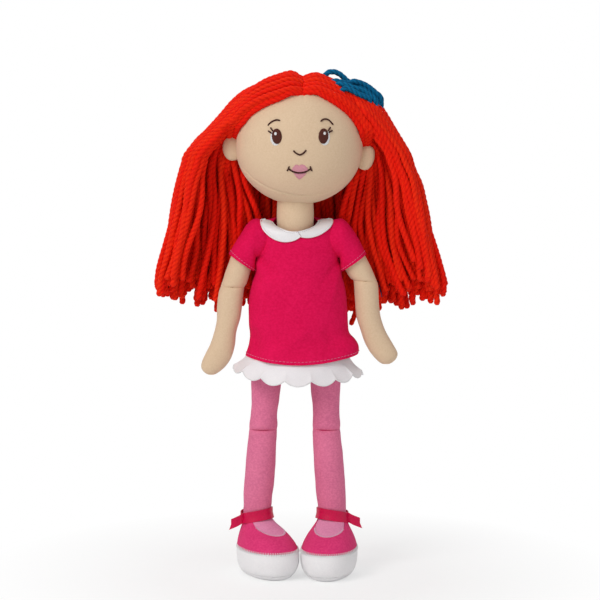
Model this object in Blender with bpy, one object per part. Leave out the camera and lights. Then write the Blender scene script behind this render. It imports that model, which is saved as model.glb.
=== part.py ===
"""A standing rag doll: stuffed cloth body, yarn hair, jersey tunic, petticoat, tights and soft shoes.

Metres, +Z up. The doll faces -Y and its left side is +X. The floor is at zero height, and the
origin lies under the middle of the doll. Every sewn crease, where a limb bends, is a line of thread
along X, and the stuffed pieces on both sides of it are pinched flat towards that line.
"""

import math

import bmesh
import bpy
from mathutils import Vector

# Clearances and cloth
SEAM_GAP = 0.0003
CLOTH = 0.0010
RIBBON = 0.0008
THREAD_RADIUS = 0.00035
CREASE_REACH = 0.0010
HIP_REACH = 0.00045
PINCH_TIP = 0.0003

# Heights, stacked from the floor up
SOLE_PANEL_HEIGHT = 0.0040
SOLE_WALL_HEIGHT = 0.0170
SHOE_UPPER_HEIGHT = 0.0230
SHIN_LENGTH = 0.0670
THIGH_LENGTH = 0.0610
TORSO_HEIGHT = 0.0900
NECK_LENGTH = 0.0220
HEAD_ABOVE_NECK = 0.0390
SHOULDER_BELOW_TOP = 0.0070

# Where the body stands over the origin
BODY_X = 0.0
BODY_Y = -0.0040
NECK_SHIFT = -0.0020
KNEE_SET_BACK = 0.0040
ANKLE_SET_BACK = 0.0120

# Head
HEAD_HALF_WIDTH = 0.0470
HEAD_HALF_DEPTH = 0.0380
CHIN_DROP = 0.0425
CROWN_RISE = 0.0500
HEAD_SHIFT = 0.0010
HEAD_SET_FORWARD = 0.0020
NECK_RADIUS = 0.0133
NECK_FLARE = 0.0044
EAR_HALF_WIDTH = 0.0070
EAR_HALF_HEIGHT = 0.0088
EAR_HALF_THICKNESS = 0.0040
EAR_LEAN_DEGREES = 12.0
EAR_DROP = {"left": 0.0060, "right": 0.0005}
EAR_STAND_OUT = 0.0025
NECK_FLARE_TOP = 0.0030
NECK_DOME_DEGREES = 86.0

# Hair
DOME_HALF_WIDTH = 0.0730
DOME_HALF_DEPTH = 0.0430
DOME_RISE = 0.0460
DOME_SET_BACK = 0.0050
HAIR_TACK_RISE = 0.0090
HAIR_PIVOT_SET_BACK = 0.0315
HAIR_SWING_SLOPE_DEGREES = 19.0
HAIRLINE_TOP_RISE = 0.0430
HAIRLINE_TOP_FORWARD = 0.0225
HAIRLINE_EAR_RISE = 0.0060
HAIRLINE_EAR_FORWARD = 0.0035
PARTING_SHIFT = 0.0025
CURTAIN_LENGTH = 0.1270
CURTAIN_REACH = 0.1055
CURTAIN_DEPTH = 0.0465
CURTAIN_TOP_HALF_THICKNESS = 0.0058
CURTAIN_HALF_THICKNESS = 0.0072
CURTAIN_EDGE_SHARE = 0.8
CURTAIN_EDGE_POWER = 5
LOCK_RIDGE = 0.0016
LOCK_RIDGE_POWER = 0.5
LOCK_END_STEP = 0.0060
LOCK_END_POWER = 4
BLUE_RADIUS = 0.0040
BLUE_START = 0.0120
BLUE_REACH = 0.0480
BLUE_FORWARD_SHARE = 0.42
BLUE_SPREAD_SHARE = 1.3
BLUE_PROUD_SHARE = 0.4
BLUE_SHARES = ((0.0, 0.55), (0.12, 0.90), (0.35, 1.0), (0.6, 0.95), (0.85, 0.75), (1.0, 0.40))

# Arms
ARMHOLE_RADIUS = 0.0140
ARM_HALF_WIDTH = 0.0086
ARM_HALF_DEPTH = 0.0082
HAND_FORWARD = 0.0030
SLEEVE_LENGTH = 0.0170
SLEEVE_EASE = 0.0005
SLEEVE_DEPTH_SHARE = 0.95
STITCH_SHARE = 0.94
ELBOW_DROP = {"left": 0.0315, "right": 0.0360}
ELBOW_OUT = {"left": 0.0180, "right": 0.0172}
FOREARM_LENGTH = {"left": 0.0640, "right": 0.0660}
HAND_OUT = {"left": 0.0175, "right": 0.0200}

# Legs
LEG_HALF_WIDTH = 0.0113
LEG_HALF_DEPTH = 0.0112
HIP_OUT = {"left": 0.0203, "right": 0.0220}
KNEE_OUT = {"left": 0.0214, "right": 0.0263}
ANKLE_OUT = {"left": 0.0262, "right": 0.0315}
TOE_IN_DEGREES = {"left": 10.0, "right": 26.0}
FOOT_INBOARD = {"left": 0.0002, "right": 0.0025}
SHOE_HALF_WIDTH = 0.0210
SHOE_LENGTH = 0.0610
HEEL_BEHIND_ANKLE = 0.0160
ANKLE_RADIUS = 0.0106
INSTEP_HALF_WIDTH = 0.0123
INSTEP_HALF_LENGTH = 0.0170
INSTEP_FORWARD = 0.0140
STRAP_WIDTH = 0.0080
STRAP_EASE = 0.0016
STRAP_LIFT = 0.0020
STRAP_ABOVE_ANKLE = 0.0010
STRAP_FRONT_EASE = 0.0006
STRAP_TAIL = 0.0095
STRAP_START_DEGREES = 9.0
STRAP_TAIL_SHARES = ((1.0, 3.0), (0.65, 1.0), (0.3, 0.0), (0.12, -1.0))
STRAP_STEPS = 26
SHOE_SQUARENESS = 2.2

# Clothes
TUNIC_HALF_WIDTH = 0.0370
TUNIC_HALF_DEPTH = 0.0250
TORSO_HALF_WIDTH = 0.0335
NECKLINE_EASE = 0.0034
NECKLINE_RISE = 0.0115
BODY_EASE = 0.0015
TAPE_WIDTH = 0.0080
TAPE_THICKNESS = 0.0006
TAPE_LENGTH = 0.0420
TAPE_BELOW_TOP = 0.0040
COLLAR_SPAN_DEGREES = 88.0
COLLAR_CORNER_SHARE = 0.38
COLLAR_FRONT_SHARE = 0.42
COLLAR_WIDTH = 0.0098
PETTICOAT_HALF_WIDTH = 0.0480
PETTICOAT_HALF_DEPTH = 0.0320
PETTICOAT_DROP = 0.0235
SCALLOP_DEPTH = 0.0042
SCALLOPS = 15
SCALLOP_POINTS = 4
SCALLOP_POWER = 0.7
PETTICOAT_ROW_SHARES = (-0.095, 0.0, 0.10)

# Shares of the sizes above: height, half width and half depth of the tunic, hem to chest
TUNIC_ROW_SHARES = (
    (-0.100, 1.120, 1.100),
    (0.000, 1.060, 1.050),
    (0.090, 0.995, 1.000),
    (0.230, 1.005, 1.000),
    (0.420, 0.985, 0.970),
    (0.550, 0.930, 0.910),
    (0.645, 0.850, 0.850),
    (0.755, 0.845, 0.800),
    (0.890, 0.845, 0.740),
)
YOKE_SIDE_SHARE = 1.055
YOKE_FRONT_SHARE = 0.940
YOKE_WIDTH_SHARE = 0.800
YOKE_FRONT_DEPTH_SHARE = 0.690
YOKE_BACK_DEPTH_SHARE = 0.700
NECKLINE_FRONT_SHARE = 0.990
TORSO_TOP_SHARES = ((0.930, 0.800, 0.690), (0.975, 0.700, 0.620), (1.000, 0.540, 0.560))

# Shares of foot height, half width, toe reach and heel reach, ground to ankle
SOLE_PANEL_SHARES = ((0.00, 0.620, 0.800, 0.880), (0.30, 0.740, 0.860, 0.910), (1.00, 0.860, 0.925, 0.950))
SOLE_WALL_SHARES = (
    (0.00, 0.870, 0.930, 0.955),
    (0.18, 0.935, 0.965, 0.975),
    (0.42, 0.985, 0.992, 0.995),
    (0.70, 1.000, 1.000, 1.000),
    (1.00, 0.980, 0.972, 0.975),
)
SHOE_UPPER_SHARES = (
    (0.00, 0.975, 0.965, 0.970),
    (0.20, 0.930, 0.900, 0.920),
    (0.42, 0.815, 0.760, 0.830),
    (0.62, 0.670, 0.560, 0.740),
    (0.78, 0.560, 0.375, 0.690),
    (0.90, 0.515, 0.275, 0.670),
    (1.00, 0.505, 0.240, 0.664),
)

# Shares of limb length from its upper end, half width and half depth
THIGH_SHARES = ((0.0, 1.02, 1.02), (0.3, 0.95, 0.97), (0.62, 0.87, 0.90), (1.0, 0.94, 0.95))
SHIN_SHARES = (
    (0.00, 0.94, 0.95),
    (0.25, 0.97, 1.00),
    (0.55, 1.00, 1.02),
    (0.85, 0.96, 0.98),
    (1.00, 0.94, 0.95),
)
SLEEVE_RING_SHARES = (
    (0.00, 0.00, 1.00, 0.0),
    (0.17, 0.21, 0.94, 12.0),
    (0.31, 0.50, 0.84, 24.0),
    (0.54, 1.00, 0.74, 53.0),
)
FOREARM_PLACE_SHARES = (0.0, 0.035, 0.09, 0.17, 0.28, 0.42, 0.56, 0.70, 0.82, 0.91, 0.97, 1.0)
FOREARM_SHARES = (
    (0.00, 0.96, 1.00, 0.00),
    (0.22, 1.02, 1.00, 0.10),
    (0.48, 0.96, 0.98, 0.26),
    (0.64, 0.98, 0.92, 0.40),
    (0.78, 1.06, 0.84, 0.64),
    (0.90, 0.98, 0.76, 0.86),
    (0.97, 0.70, 0.58, 0.96),
    (1.00, 0.30, 0.25, 1.00),
)

# Places of the rings along a piece, closer together beside a crease
TORSO_RING_SHARES = (0.0, 0.03, 0.08, 0.15, 0.25, 0.37, 0.50, 0.63, 0.76, 0.88)
CREASE_RING_SHARES = (0.0, 0.035, 0.09, 0.17, 0.28)
PLAIN_RING_SHARES = (0.0, 0.12, 0.28)
LIMB_MIDDLE_SHARES = (0.42, 0.58)
UPPER_ARM_PLACE_SHARES = (0.22, 0.42, 0.60, 0.76, 0.90, 1.0)
COLLAR_ROW_SHARES = (1.0, 0.66, 0.33, 0.0)

# Shares of the curtain's reach: height, then how far out and how far back five points of it lie
CURTAIN_LEVEL_SHARES = (
    (0.00, ((0.020, 0.945), (0.270, 0.820), (0.460, 0.540), (0.580, 0.230), (0.690, 0.000))),
    (0.20, ((0.020, 0.930), (0.280, 0.840), (0.500, 0.620), (0.700, 0.350), (0.860, 0.140))),
    (0.45, ((0.020, 0.900), (0.290, 0.850), (0.540, 0.690), (0.760, 0.470), (0.925, 0.270))),
    (0.72, ((0.020, 0.870), (0.290, 0.850), (0.560, 0.740), (0.800, 0.550), (0.975, 0.350))),
    (1.00, ((0.020, 0.860), (0.290, 0.850), (0.580, 0.770), (0.840, 0.600), (1.020, 0.400))),
)
LOCK_END_SHARES = (0.5, 0.9, 0.3, 0.7, 0.0, 0.6, 0.2)

# Counts of facets
RING_POINTS = 16
FOOT_POINTS = 24
PANEL_COLUMNS = 9
SMOOTH_STEPS = 2
HEAD_SEGMENTS = 28
HEAD_RINGS = 16
EAR_SEGMENTS = 16
EAR_RINGS = 10
CURTAIN_COLUMNS = 28
CURTAIN_ROWS = 8
BLUE_POINTS = 12
STITCH_POINTS = 8
NECK_DOME_RINGS = 7
COLLAR_STEPS = 6
TAPE_COLUMNS = 5

# Pinch of the stuffing at a crease, from the flat of the crease to the limb's own slope
HIP_PINCH_DEGREES = 50.0
TORSO_PINCH_DEGREES = 46.0
KNEE_PINCH_DEGREES = 50.0
ELBOW_PINCH_DEGREES = 50.0
PINCH_POWER = 5.0

# Derived heights
SOLE_SEAM_Z = SOLE_PANEL_HEIGHT + SOLE_WALL_HEIGHT
ANKLE_Z = SOLE_SEAM_Z + SHOE_UPPER_HEIGHT
KNEE_Z = ANKLE_Z + SHIN_LENGTH
HIP_Z = KNEE_Z + THIGH_LENGTH
TORSO_TOP_Z = HIP_Z + TORSO_HEIGHT
SHOULDER_Z = TORSO_TOP_Z - SHOULDER_BELOW_TOP
NOD_Z = TORSO_TOP_Z + NECK_LENGTH
HEAD_Z = NOD_Z + HEAD_ABOVE_NECK
TACK_Z = HEAD_Z + HAIR_TACK_RISE
NECK_FLARE_DROP = NOD_Z - HEAD_Z + CHIN_DROP + NECK_FLARE
NECK_X = BODY_X + NECK_SHIFT
HEAD_X = BODY_X + HEAD_SHIFT
HEAD_Y = BODY_Y - HEAD_SET_FORWARD
KNEE_Y = BODY_Y + KNEE_SET_BACK
ANKLE_Y = BODY_Y + ANKLE_SET_BACK
ARMHOLE_OUT = TUNIC_HALF_WIDTH * TUNIC_ROW_SHARES[-1][1] + SEAM_GAP + SEAM_GAP
SIDES = {"left": 1.0, "right": -1.0}

# Finishes
ROUGHNESS = 0.9
SKIN = (0.68, 0.47, 0.33)
JERSEY = (0.72, 0.010, 0.12)
WHITE = (0.86, 0.85, 0.86)
TIGHTS = (0.66, 0.15, 0.34)
INSTEP_PINK = (0.70, 0.22, 0.42)
RIBBON_PINK = (0.68, 0.0, 0.09)
SHOE_PINK = (0.74, 0.03, 0.18)
YARN_RED = (0.80, 0.035, 0.006)
YARN_BLUE = (0.0, 0.16, 0.34)
THREAD_BROWN = (0.30, 0.17, 0.10)


def clear_scene():
    """Remove whatever the open scene holds."""
    for old in list(bpy.data.objects):
        bpy.data.objects.remove(old, do_unlink=True)


def finish(colour):
    """Return a Principled cloth material of this colour."""
    name = "finish_%02d" % len(bpy.data.materials)
    material = bpy.data.materials.new(name)
    material.use_nodes = True
    shader = material.node_tree.nodes["Principled BSDF"]
    shader.inputs["Base Color"].default_value = (*colour, 1.0)
    shader.inputs["Roughness"].default_value = ROUGHNESS
    shader.inputs["Metallic"].default_value = 0.0
    return material


def add_object(name, mesh_data, colour, origin):
    """Link a named object whose origin is at the given point, with the mesh kept in place."""
    bmesh.ops.recalc_face_normals(mesh_data, faces=mesh_data.faces)
    bmesh.ops.translate(mesh_data, verts=mesh_data.verts, vec=-Vector(origin))
    mesh = bpy.data.meshes.new(name)
    mesh_data.to_mesh(mesh)
    mesh_data.free()
    mesh.shade_smooth()
    mesh.materials.append(finish(colour))
    part = bpy.data.objects.new(name, mesh)
    part.location = origin
    bpy.context.collection.objects.link(part)
    return part


def add_cutter(name, mesh_data):
    """Link a hidden cutting body."""
    cutter = add_object(name, mesh_data, WHITE, (0, 0, 0))
    cutter.hide_render = True
    cutter.display_type = "WIRE"
    return cutter


def cut(part, cutter, operation="DIFFERENCE"):
    """Cut a part with a hidden body."""
    modifier = part.modifiers.new("cut", "BOOLEAN")
    modifier.operation = operation
    modifier.solver = "EXACT"
    modifier.object = cutter


def smooth_between(before, start, end, after, share):
    """Return the point at this share between start and end on a curve through four points."""
    square = share * share
    cube = square * share
    return (
        start * 2.0
        + (end - before) * share
        + (before * 2.0 - start * 5.0 + end * 4.0 - after) * square
        + (start * 3.0 - before - end * 3.0 + after) * cube
    ) * 0.5


def smooth_rows(rows, steps=SMOOTH_STEPS):
    """Return rows of points with smooth rows put between them, so that a few rows shape a form."""
    made = []
    for index in range(len(rows) - 1):
        before = rows[max(index - 1, 0)]
        after = rows[min(index + 2, len(rows) - 1)]
        for step in range(steps):
            share = step / steps
            quads = zip(before, rows[index], rows[index + 1], after)
            made.append([smooth_between(a, b, c, d, share) for a, b, c, d in quads])
    made.append([Vector(point) for point in rows[-1]])
    return made


def smooth_table(rows, at):
    """Return the columns of a table of numbers, read smoothly at a value of its first column."""
    last = len(rows) - 2
    index = 0
    while index < last and at > rows[index + 1][0]:
        index += 1
    start = rows[index]
    end = rows[index + 1]
    share = min(max((at - start[0]) / (end[0] - start[0]), 0.0), 1.0)
    before = rows[max(index - 1, 0)]
    after = rows[min(index + 2, len(rows) - 1)]
    quads = zip(before[1:], start[1:], end[1:], after[1:])
    return [smooth_between(a, b, c, d, share) for a, b, c, d in quads]


def loft(rows):
    """Return a closed body through rings of points, with a flat cap on each end."""
    body = bmesh.new()
    rings = [[body.verts.new(point) for point in row] for row in rows]
    for ring in rings:
        for index, corner in enumerate(ring):
            body.edges.new((ring[index - 1], corner))
    for low, high in zip(rings, rings[1:]):
        for index in range(len(low)):
            body.faces.new((low[index - 1], low[index], high[index], high[index - 1]))
    body.faces.new(rings[0])
    body.faces.new(rings[-1])
    return body


def thick_sheet(front, back, around=False):
    """Return a closed body between two like grids of points, joined along their edges."""
    body = bmesh.new()
    faces = [[[body.verts.new(point) for point in row] for row in grid] for grid in (front, back)]
    columns = len(front[0])
    first = 0 if around else 1
    for grid in faces:
        for low, high in zip(grid, grid[1:]):
            for index in range(first, columns):
                body.faces.new((low[index - 1], low[index], high[index], high[index - 1]))
    for row in (0, -1):
        for index in range(first, columns):
            one, other = faces[0][row], faces[1][row]
            body.faces.new((one[index - 1], one[index], other[index], other[index - 1]))
    if not around:
        for column in (0, -1):
            for index in range(1, len(front)):
                one = [row[column] for row in faces[0]]
                other = [row[column] for row in faces[1]]
                body.faces.new((one[index - 1], one[index], other[index], other[index - 1]))
    return body


def lifted(grid, distance, around=False):
    """Return the grid moved along its own surface normals, outwards from the doll's middle."""
    rows, columns = len(grid), len(grid[0])
    moved = []
    for row in range(rows):
        line = []
        for column in range(columns):
            left, right = column - 1, column + 1
            if around:
                right %= columns
            else:
                left, right = max(left, 0), min(right, columns - 1)
            along = grid[row][right] - grid[row][left]
            up = grid[min(row + 1, rows - 1)][column] - grid[max(row - 1, 0)][column]
            line.append(grid[row][column] + along.cross(up).normalized() * distance)
        moved.append(line)
    return moved


def oval(centre, half_width, half_depth, count=RING_POINTS, power=2.0):
    """Return a level ring of points round a centre, squarer as the power grows."""
    ring = []
    for index in range(count):
        angle = 2.0 * math.pi * index / count
        side, front = math.sin(angle), -math.cos(angle)
        reach = (abs(side) ** power + abs(front) ** power) ** (-1.0 / power)
        ring.append(centre + Vector((side * half_width * reach, front * half_depth * reach, 0)))
    return ring


def pinched(full, distance, degrees):
    """Return the half depth of stuffing at this distance from a crease, never past the pinch's slope."""
    straight = distance / (full * math.tan(math.radians(degrees)))
    return full * straight / (1.0 + straight ** PINCH_POWER) ** (1.0 / PINCH_POWER)


def limb_shares(end_pinches):
    """Return ring places along a limb, closer together beside a crease."""
    upper, lower = (CREASE_RING_SHARES if pinch else PLAIN_RING_SHARES for pinch in end_pinches)
    shares = set(upper + LIMB_MIDDLE_SHARES)
    shares.update(1.0 - share for share in lower)
    return sorted(shares)


def egg(half_width, half_depth, rise, drop, centre, facets=(HEAD_SEGMENTS, HEAD_RINGS)):
    """Return a ball drawn out to these sizes, with its own rise and drop."""
    ball = bmesh.new()
    bmesh.ops.create_uvsphere(ball, u_segments=facets[0], v_segments=facets[1], radius=1.0)
    for corner in ball.verts:
        tall = rise if corner.co.z > 0 else drop
        corner.co = centre + corner.co * Vector((half_width, half_depth, tall))
    return ball


def slab(low, high):
    """Return a box between two corners."""
    box = bmesh.new()
    bmesh.ops.create_cube(box, size=1.0)
    size = Vector(high) - Vector(low)
    middle = (Vector(high) + Vector(low)) / 2.0
    for corner in box.verts:
        corner.co = middle + corner.co * size
    return box


def prism(profile, half_width, middle_x):
    """Return a bar along X whose section is a list of (y, z) points."""
    ends = (middle_x - half_width, middle_x + half_width)
    return loft([[Vector((x, y, z)) for y, z in profile] for x in ends])


def height(share):
    """Return the height of a share of the torso above the hip crease."""
    return HIP_Z + TORSO_HEIGHT * share


def tunic_point(row, angle):
    """Return a point of a level row of the tunic; angle 0 is in front, turning to the doll's left."""
    share, width, depth = row
    side = math.sin(angle) * TUNIC_HALF_WIDTH * width
    front = math.cos(angle) * TUNIC_HALF_DEPTH * depth
    return Vector((BODY_X + side, BODY_Y - front, height(share)))


def yoke_point(angle):
    """Return a point of the tunic's shoulder line, which is low in front."""
    front = max(math.cos(angle), 0.0)
    depth = YOKE_FRONT_DEPTH_SHARE if front > 0.0 else YOKE_BACK_DEPTH_SHARE
    share = YOKE_SIDE_SHARE - (YOKE_SIDE_SHARE - YOKE_FRONT_SHARE) * front * front
    return tunic_point((share, YOKE_WIDTH_SHARE, depth), angle)


def neckline_point(angle):
    """Return a point of the neckline, which goes round the neck and rises to the back."""
    radius = NECK_RADIUS + NECKLINE_EASE
    rise = NECKLINE_RISE * (1.0 - math.cos(angle)) / 2.0
    spot = Vector((math.sin(angle) * radius, -math.cos(angle) * radius, rise))
    return Vector((NECK_X, BODY_Y, height(NECKLINE_FRONT_SHARE))) + spot


def tunic_grid(angles, steps=SMOOTH_STEPS):
    """Return the tunic's outer surface, hem to neckline, along these angles."""
    rows = [[tunic_point(row, angle) for angle in angles] for row in TUNIC_ROW_SHARES]
    rows.append([yoke_point(angle) for angle in angles])
    rows.append([neckline_point(angle) for angle in angles])
    return smooth_rows(rows, steps)


def spread(start, end, count):
    """Return evenly spread values from start to end."""
    return [start + (end - start) * index / (count - 1) for index in range(count)]


def make_torso():
    """Stuffed body: pinched flat at the hip seam, with sloping shoulders."""
    inset = CLOTH + BODY_EASE
    rings = []
    for share in TORSO_RING_SHARES:
        width, depth = smooth_table(TUNIC_ROW_SHARES, share)
        half_width = min(TUNIC_HALF_WIDTH * width - inset, TORSO_HALF_WIDTH)
        full = TUNIC_HALF_DEPTH * depth - inset
        above = (TORSO_HEIGHT - HIP_REACH) * share
        half_depth = PINCH_TIP + pinched(full, above, TORSO_PINCH_DEGREES)
        centre = Vector((BODY_X, BODY_Y, HIP_Z + HIP_REACH + above))
        rings.append(oval(centre, half_width, half_depth, 2 * RING_POINTS))
    for share, width, depth in TORSO_TOP_SHARES:
        centre = Vector((BODY_X, BODY_Y, height(share)))
        size = (TUNIC_HALF_WIDTH * width - inset, TUNIC_HALF_DEPTH * depth - inset)
        rings.append(oval(centre, *size, 2 * RING_POINTS))
    add_object("torso", loft(rings), SKIN, (BODY_X, BODY_Y, HIP_Z))


def neck_rings(radius, flare, low):
    """Return rings of the neck's dome and the tube under it, about the nod axis."""
    rings = []
    if flare:
        for share in (1.0, 0.5, 0.0):
            drop = NECK_FLARE_TOP - (NECK_FLARE_TOP + low) * share
            size = math.sqrt(radius ** 2 - NECK_FLARE_TOP ** 2) + flare * share
            rings.append(oval(Vector((NECK_X, BODY_Y, NOD_Z + drop)), size, size, 2 * RING_POINTS))
        start = math.asin(NECK_FLARE_TOP / radius)
        turns = spread(start, math.radians(NECK_DOME_DEGREES), NECK_DOME_RINGS)[1:]
    else:
        base = Vector((NECK_X, BODY_Y, TORSO_TOP_Z + SEAM_GAP))
        rings.append(oval(base, radius, radius, 2 * RING_POINTS))
        turns = spread(0.0, math.radians(NECK_DOME_DEGREES), NECK_DOME_RINGS)
    for turn in turns:
        centre = Vector((NECK_X, BODY_Y, NOD_Z + radius * math.sin(turn)))
        size = radius * math.cos(turn)
        rings.append(oval(centre, size, size, 2 * RING_POINTS))
    return rings


def head_ball(gap=0.0):
    """Return the head's ball, larger by a gap when it is cut from a neighbour."""
    sizes = (HEAD_HALF_WIDTH + gap, HEAD_HALF_DEPTH + gap, CROWN_RISE + gap, CHIN_DROP + gap)
    return egg(*sizes, Vector((HEAD_X, HEAD_Y, HEAD_Z)))


def make_head():
    """Head, its socket over the neck's dome, and the neck."""
    add_object("neck", loft(neck_rings(NECK_RADIUS, 0.0, 0.0)), SKIN, (NECK_X, BODY_Y, NOD_Z))
    socket = loft(neck_rings(NECK_RADIUS + SEAM_GAP, NECK_FLARE, NECK_FLARE_DROP))
    head = add_object("head", head_ball(), SKIN, (NECK_X, BODY_Y, NOD_Z))
    cut(head, add_cutter("socket", socket))


def make_ear(side):
    """Small stuffed ear sewn to the side of the head."""
    sign = SIDES[side]
    middle = Vector((HEAD_X + sign * (HEAD_HALF_WIDTH + EAR_STAND_OUT), HEAD_Y, HEAD_Z - EAR_DROP[side]))
    sizes = (EAR_HALF_WIDTH, EAR_HALF_THICKNESS, EAR_HALF_HEIGHT, EAR_HALF_HEIGHT)
    ball = egg(*sizes, Vector((0, 0, 0)), (EAR_SEGMENTS, EAR_RINGS))
    lean = math.radians(EAR_LEAN_DEGREES) * sign
    for corner in ball.verts:
        x, z = corner.co.x, corner.co.z
        turned = (x * math.cos(lean) + z * math.sin(lean), z * math.cos(lean) - x * math.sin(lean))
        corner.co = middle + Vector((turned[0], corner.co.y, turned[1]))
    ear = add_object("ear_" + side, ball, SKIN, middle)
    cut(ear, bpy.data.objects["head_room"])


def dome(gap=0.0):
    """Return the outer mound of the yarn over the head."""
    middle = Vector((HEAD_X, BODY_Y + DOME_SET_BACK, TACK_Z))
    sizes = (DOME_HALF_WIDTH + gap, DOME_HALF_DEPTH + gap, DOME_RISE + gap, HAIR_TACK_RISE)
    return egg(*sizes, middle)


def hair_pivot():
    """Return the place of the line where the hanging yarn is tacked, as y and z."""
    return BODY_Y + HAIR_PIVOT_SET_BACK, TACK_Z


def hairline_profile():
    """Return the section of the space in front of the hairline, in y and z."""
    top_y, top_z = HEAD_Y - HAIRLINE_TOP_FORWARD, HEAD_Z + HAIRLINE_TOP_RISE
    ear_y, ear_z = HEAD_Y - HAIRLINE_EAR_FORWARD, HEAD_Z + HAIRLINE_EAR_RISE
    slope = (top_y - ear_y) / (top_z - ear_z)
    high_z, low_z = top_z + CROWN_RISE, ear_z - CHIN_DROP
    high_y, low_y = top_y + slope * CROWN_RISE, ear_y - slope * CHIN_DROP
    front_y = HEAD_Y - DOME_HALF_WIDTH - DOME_HALF_DEPTH
    return [(front_y, low_z), (low_y, low_z), (high_y, high_z), (front_y, high_z)]


def under_cap_profile():
    """Return the section of the space under the caps, which rises behind the tack line."""
    pivot_y, pivot_z = hair_pivot()
    front_y, back_y = pivot_y - 2.0 * DOME_HALF_WIDTH, pivot_y + DOME_HALF_DEPTH
    floor_z = pivot_z + SEAM_GAP
    rise = (back_y - pivot_y) * math.tan(math.radians(HAIR_SWING_SLOPE_DEGREES))
    low_z = pivot_z - CHIN_DROP
    roof = [(back_y, floor_z + rise), (pivot_y, floor_z), (front_y, floor_z)]
    return [(front_y, low_z), (back_y, low_z), *roof]


def make_caps():
    """Yarn sewn over the head from the parting to above the ears, in two halves."""
    part_x = HEAD_X + PARTING_SHIFT
    reach = 2.0 * DOME_HALF_WIDTH
    front = add_cutter("front_space", prism(hairline_profile(), reach, HEAD_X))
    under = add_cutter("under_space", prism(under_cap_profile(), reach, HEAD_X))
    for side, sign in SIDES.items():
        edge = part_x + sign * SEAM_GAP / 2.0
        far = part_x - sign * reach
        low = (min(edge, far), HEAD_Y - reach, HEAD_Z - reach)
        high = (max(edge, far), HEAD_Y + reach, HEAD_Z + reach)
        other = add_cutter("other_half_" + side, slab(low, high))
        cap = add_object("hair_cap_" + side, dome(), YARN_RED, (HEAD_X, HEAD_Y, TACK_Z))
        for cutter in (bpy.data.objects["head_room"], front, under, other):
            cut(cap, cutter)


def tilted_ring(centre, half_width, half_depth, degrees, sign, count=RING_POINTS):
    """Return a ring that stands across X at 0 degrees and lies level at 90 degrees."""
    tilt = math.radians(degrees)
    wide = Vector((sign * math.sin(tilt), 0, math.cos(tilt)))
    ring = []
    for index in range(count):
        angle = 2.0 * math.pi * index / count
        across = wide * (half_width * math.cos(angle))
        ring.append(centre + across + Vector((0, half_depth * math.sin(angle) * sign, 0)))
    return ring


def make_blue_bundle():
    """Blue yarn sewn in beside the parting, lying over the left cap."""
    rings = []
    middle = Vector((HEAD_X, BODY_Y + DOME_SET_BACK, TACK_Z))
    for share, size in BLUE_SHARES:
        out = (BLUE_START + BLUE_REACH * share) / DOME_HALF_WIDTH
        up = math.sqrt(1.0 - out * out - BLUE_FORWARD_SHARE * BLUE_FORWARD_SHARE)
        spot = Vector((out * DOME_HALF_WIDTH, -BLUE_FORWARD_SHARE * DOME_HALF_DEPTH, up * DOME_RISE))
        tilt = math.degrees(math.atan2(out * DOME_RISE, up * DOME_HALF_WIDTH))
        radius = BLUE_RADIUS * size
        lifted_spot = middle + spot * (1.0 + radius * BLUE_PROUD_SHARE / DOME_RISE)
        rings.append(tilted_ring(lifted_spot, radius, radius * BLUE_SPREAD_SHARE, tilt, 1.0, BLUE_POINTS))
    bundle = add_object("hair_blue_bundle", loft(rings), YARN_BLUE, (HEAD_X, HEAD_Y, TACK_Z))
    cut(bundle, add_cutter("dome_room", dome(SEAM_GAP)))


def curtain_grid(side):
    """Return the middle surface of a hanging curtain of yarn, top to end, back to outer edge."""
    sign = SIDES[side]
    rows = []
    for share, spots in CURTAIN_LEVEL_SHARES:
        middle = Vector((BODY_X, BODY_Y, TACK_Z - SEAM_GAP - CURTAIN_LENGTH * share))
        row = [(sign * out * CURTAIN_REACH, back * CURTAIN_DEPTH, 0) for out, back in spots]
        rows.append([middle + Vector(spot) for spot in row])
    across = smooth_rows([list(column) for column in zip(*rows)], CURTAIN_COLUMNS // (len(rows[0]) - 1))
    levels = [list(row) for row in zip(*across)]
    return smooth_rows(levels, CURTAIN_ROWS // (len(rows) - 1))


def make_curtain(side):
    """Hanging yarn behind the ear, the shoulder and half of the back, with its locks and uneven ends."""
    sign = SIDES[side]
    grid = curtain_grid(side)
    pivot_y, pivot_z = hair_pivot()
    last_row, last_column = len(grid) - 1, len(grid[0]) - 1
    fall = math.tan(math.radians(HAIR_SWING_SLOPE_DEGREES))
    faces = []
    for face in (1.0, -1.0):
        moved = []
        for row_index, row in enumerate(grid):
            down = row_index / last_row
            line = []
            for column_index, spot in enumerate(row):
                across = column_index / last_column
                before = row[max(column_index - 1, 0)]
                after = row[min(column_index + 1, last_column)]
                along = (after - before).normalized()
                outward = Vector((-along.y, along.x, 0)) * sign
                full = CURTAIN_TOP_HALF_THICKNESS * (1.0 - down) + CURTAIN_HALF_THICKNESS * down
                thinned = CURTAIN_EDGE_SHARE * abs(2.0 * across - 1.0) ** CURTAIN_EDGE_POWER
                lock = across * len(LOCK_END_SHARES)
                ridge = LOCK_RIDGE * abs(math.sin(math.pi * lock)) * down ** LOCK_RIDGE_POWER
                reach = full * math.sqrt(1.0 - thinned) + ridge - LOCK_RIDGE / 2.0
                point = spot + outward * (face * reach)
                end = LOCK_END_SHARES[min(int(lock), len(LOCK_END_SHARES) - 1)]
                point.z += LOCK_END_STEP * end * down ** LOCK_END_POWER
                point.z -= max(point.y - pivot_y, 0.0) * fall * (1.0 - down)
                line.append(point)
            moved.append(line)
        faces.append(moved)
    body = thick_sheet(faces[0], faces[1])
    add_object("hair_curtain_" + side, body, YARN_RED, (BODY_X, pivot_y, pivot_z))


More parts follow.
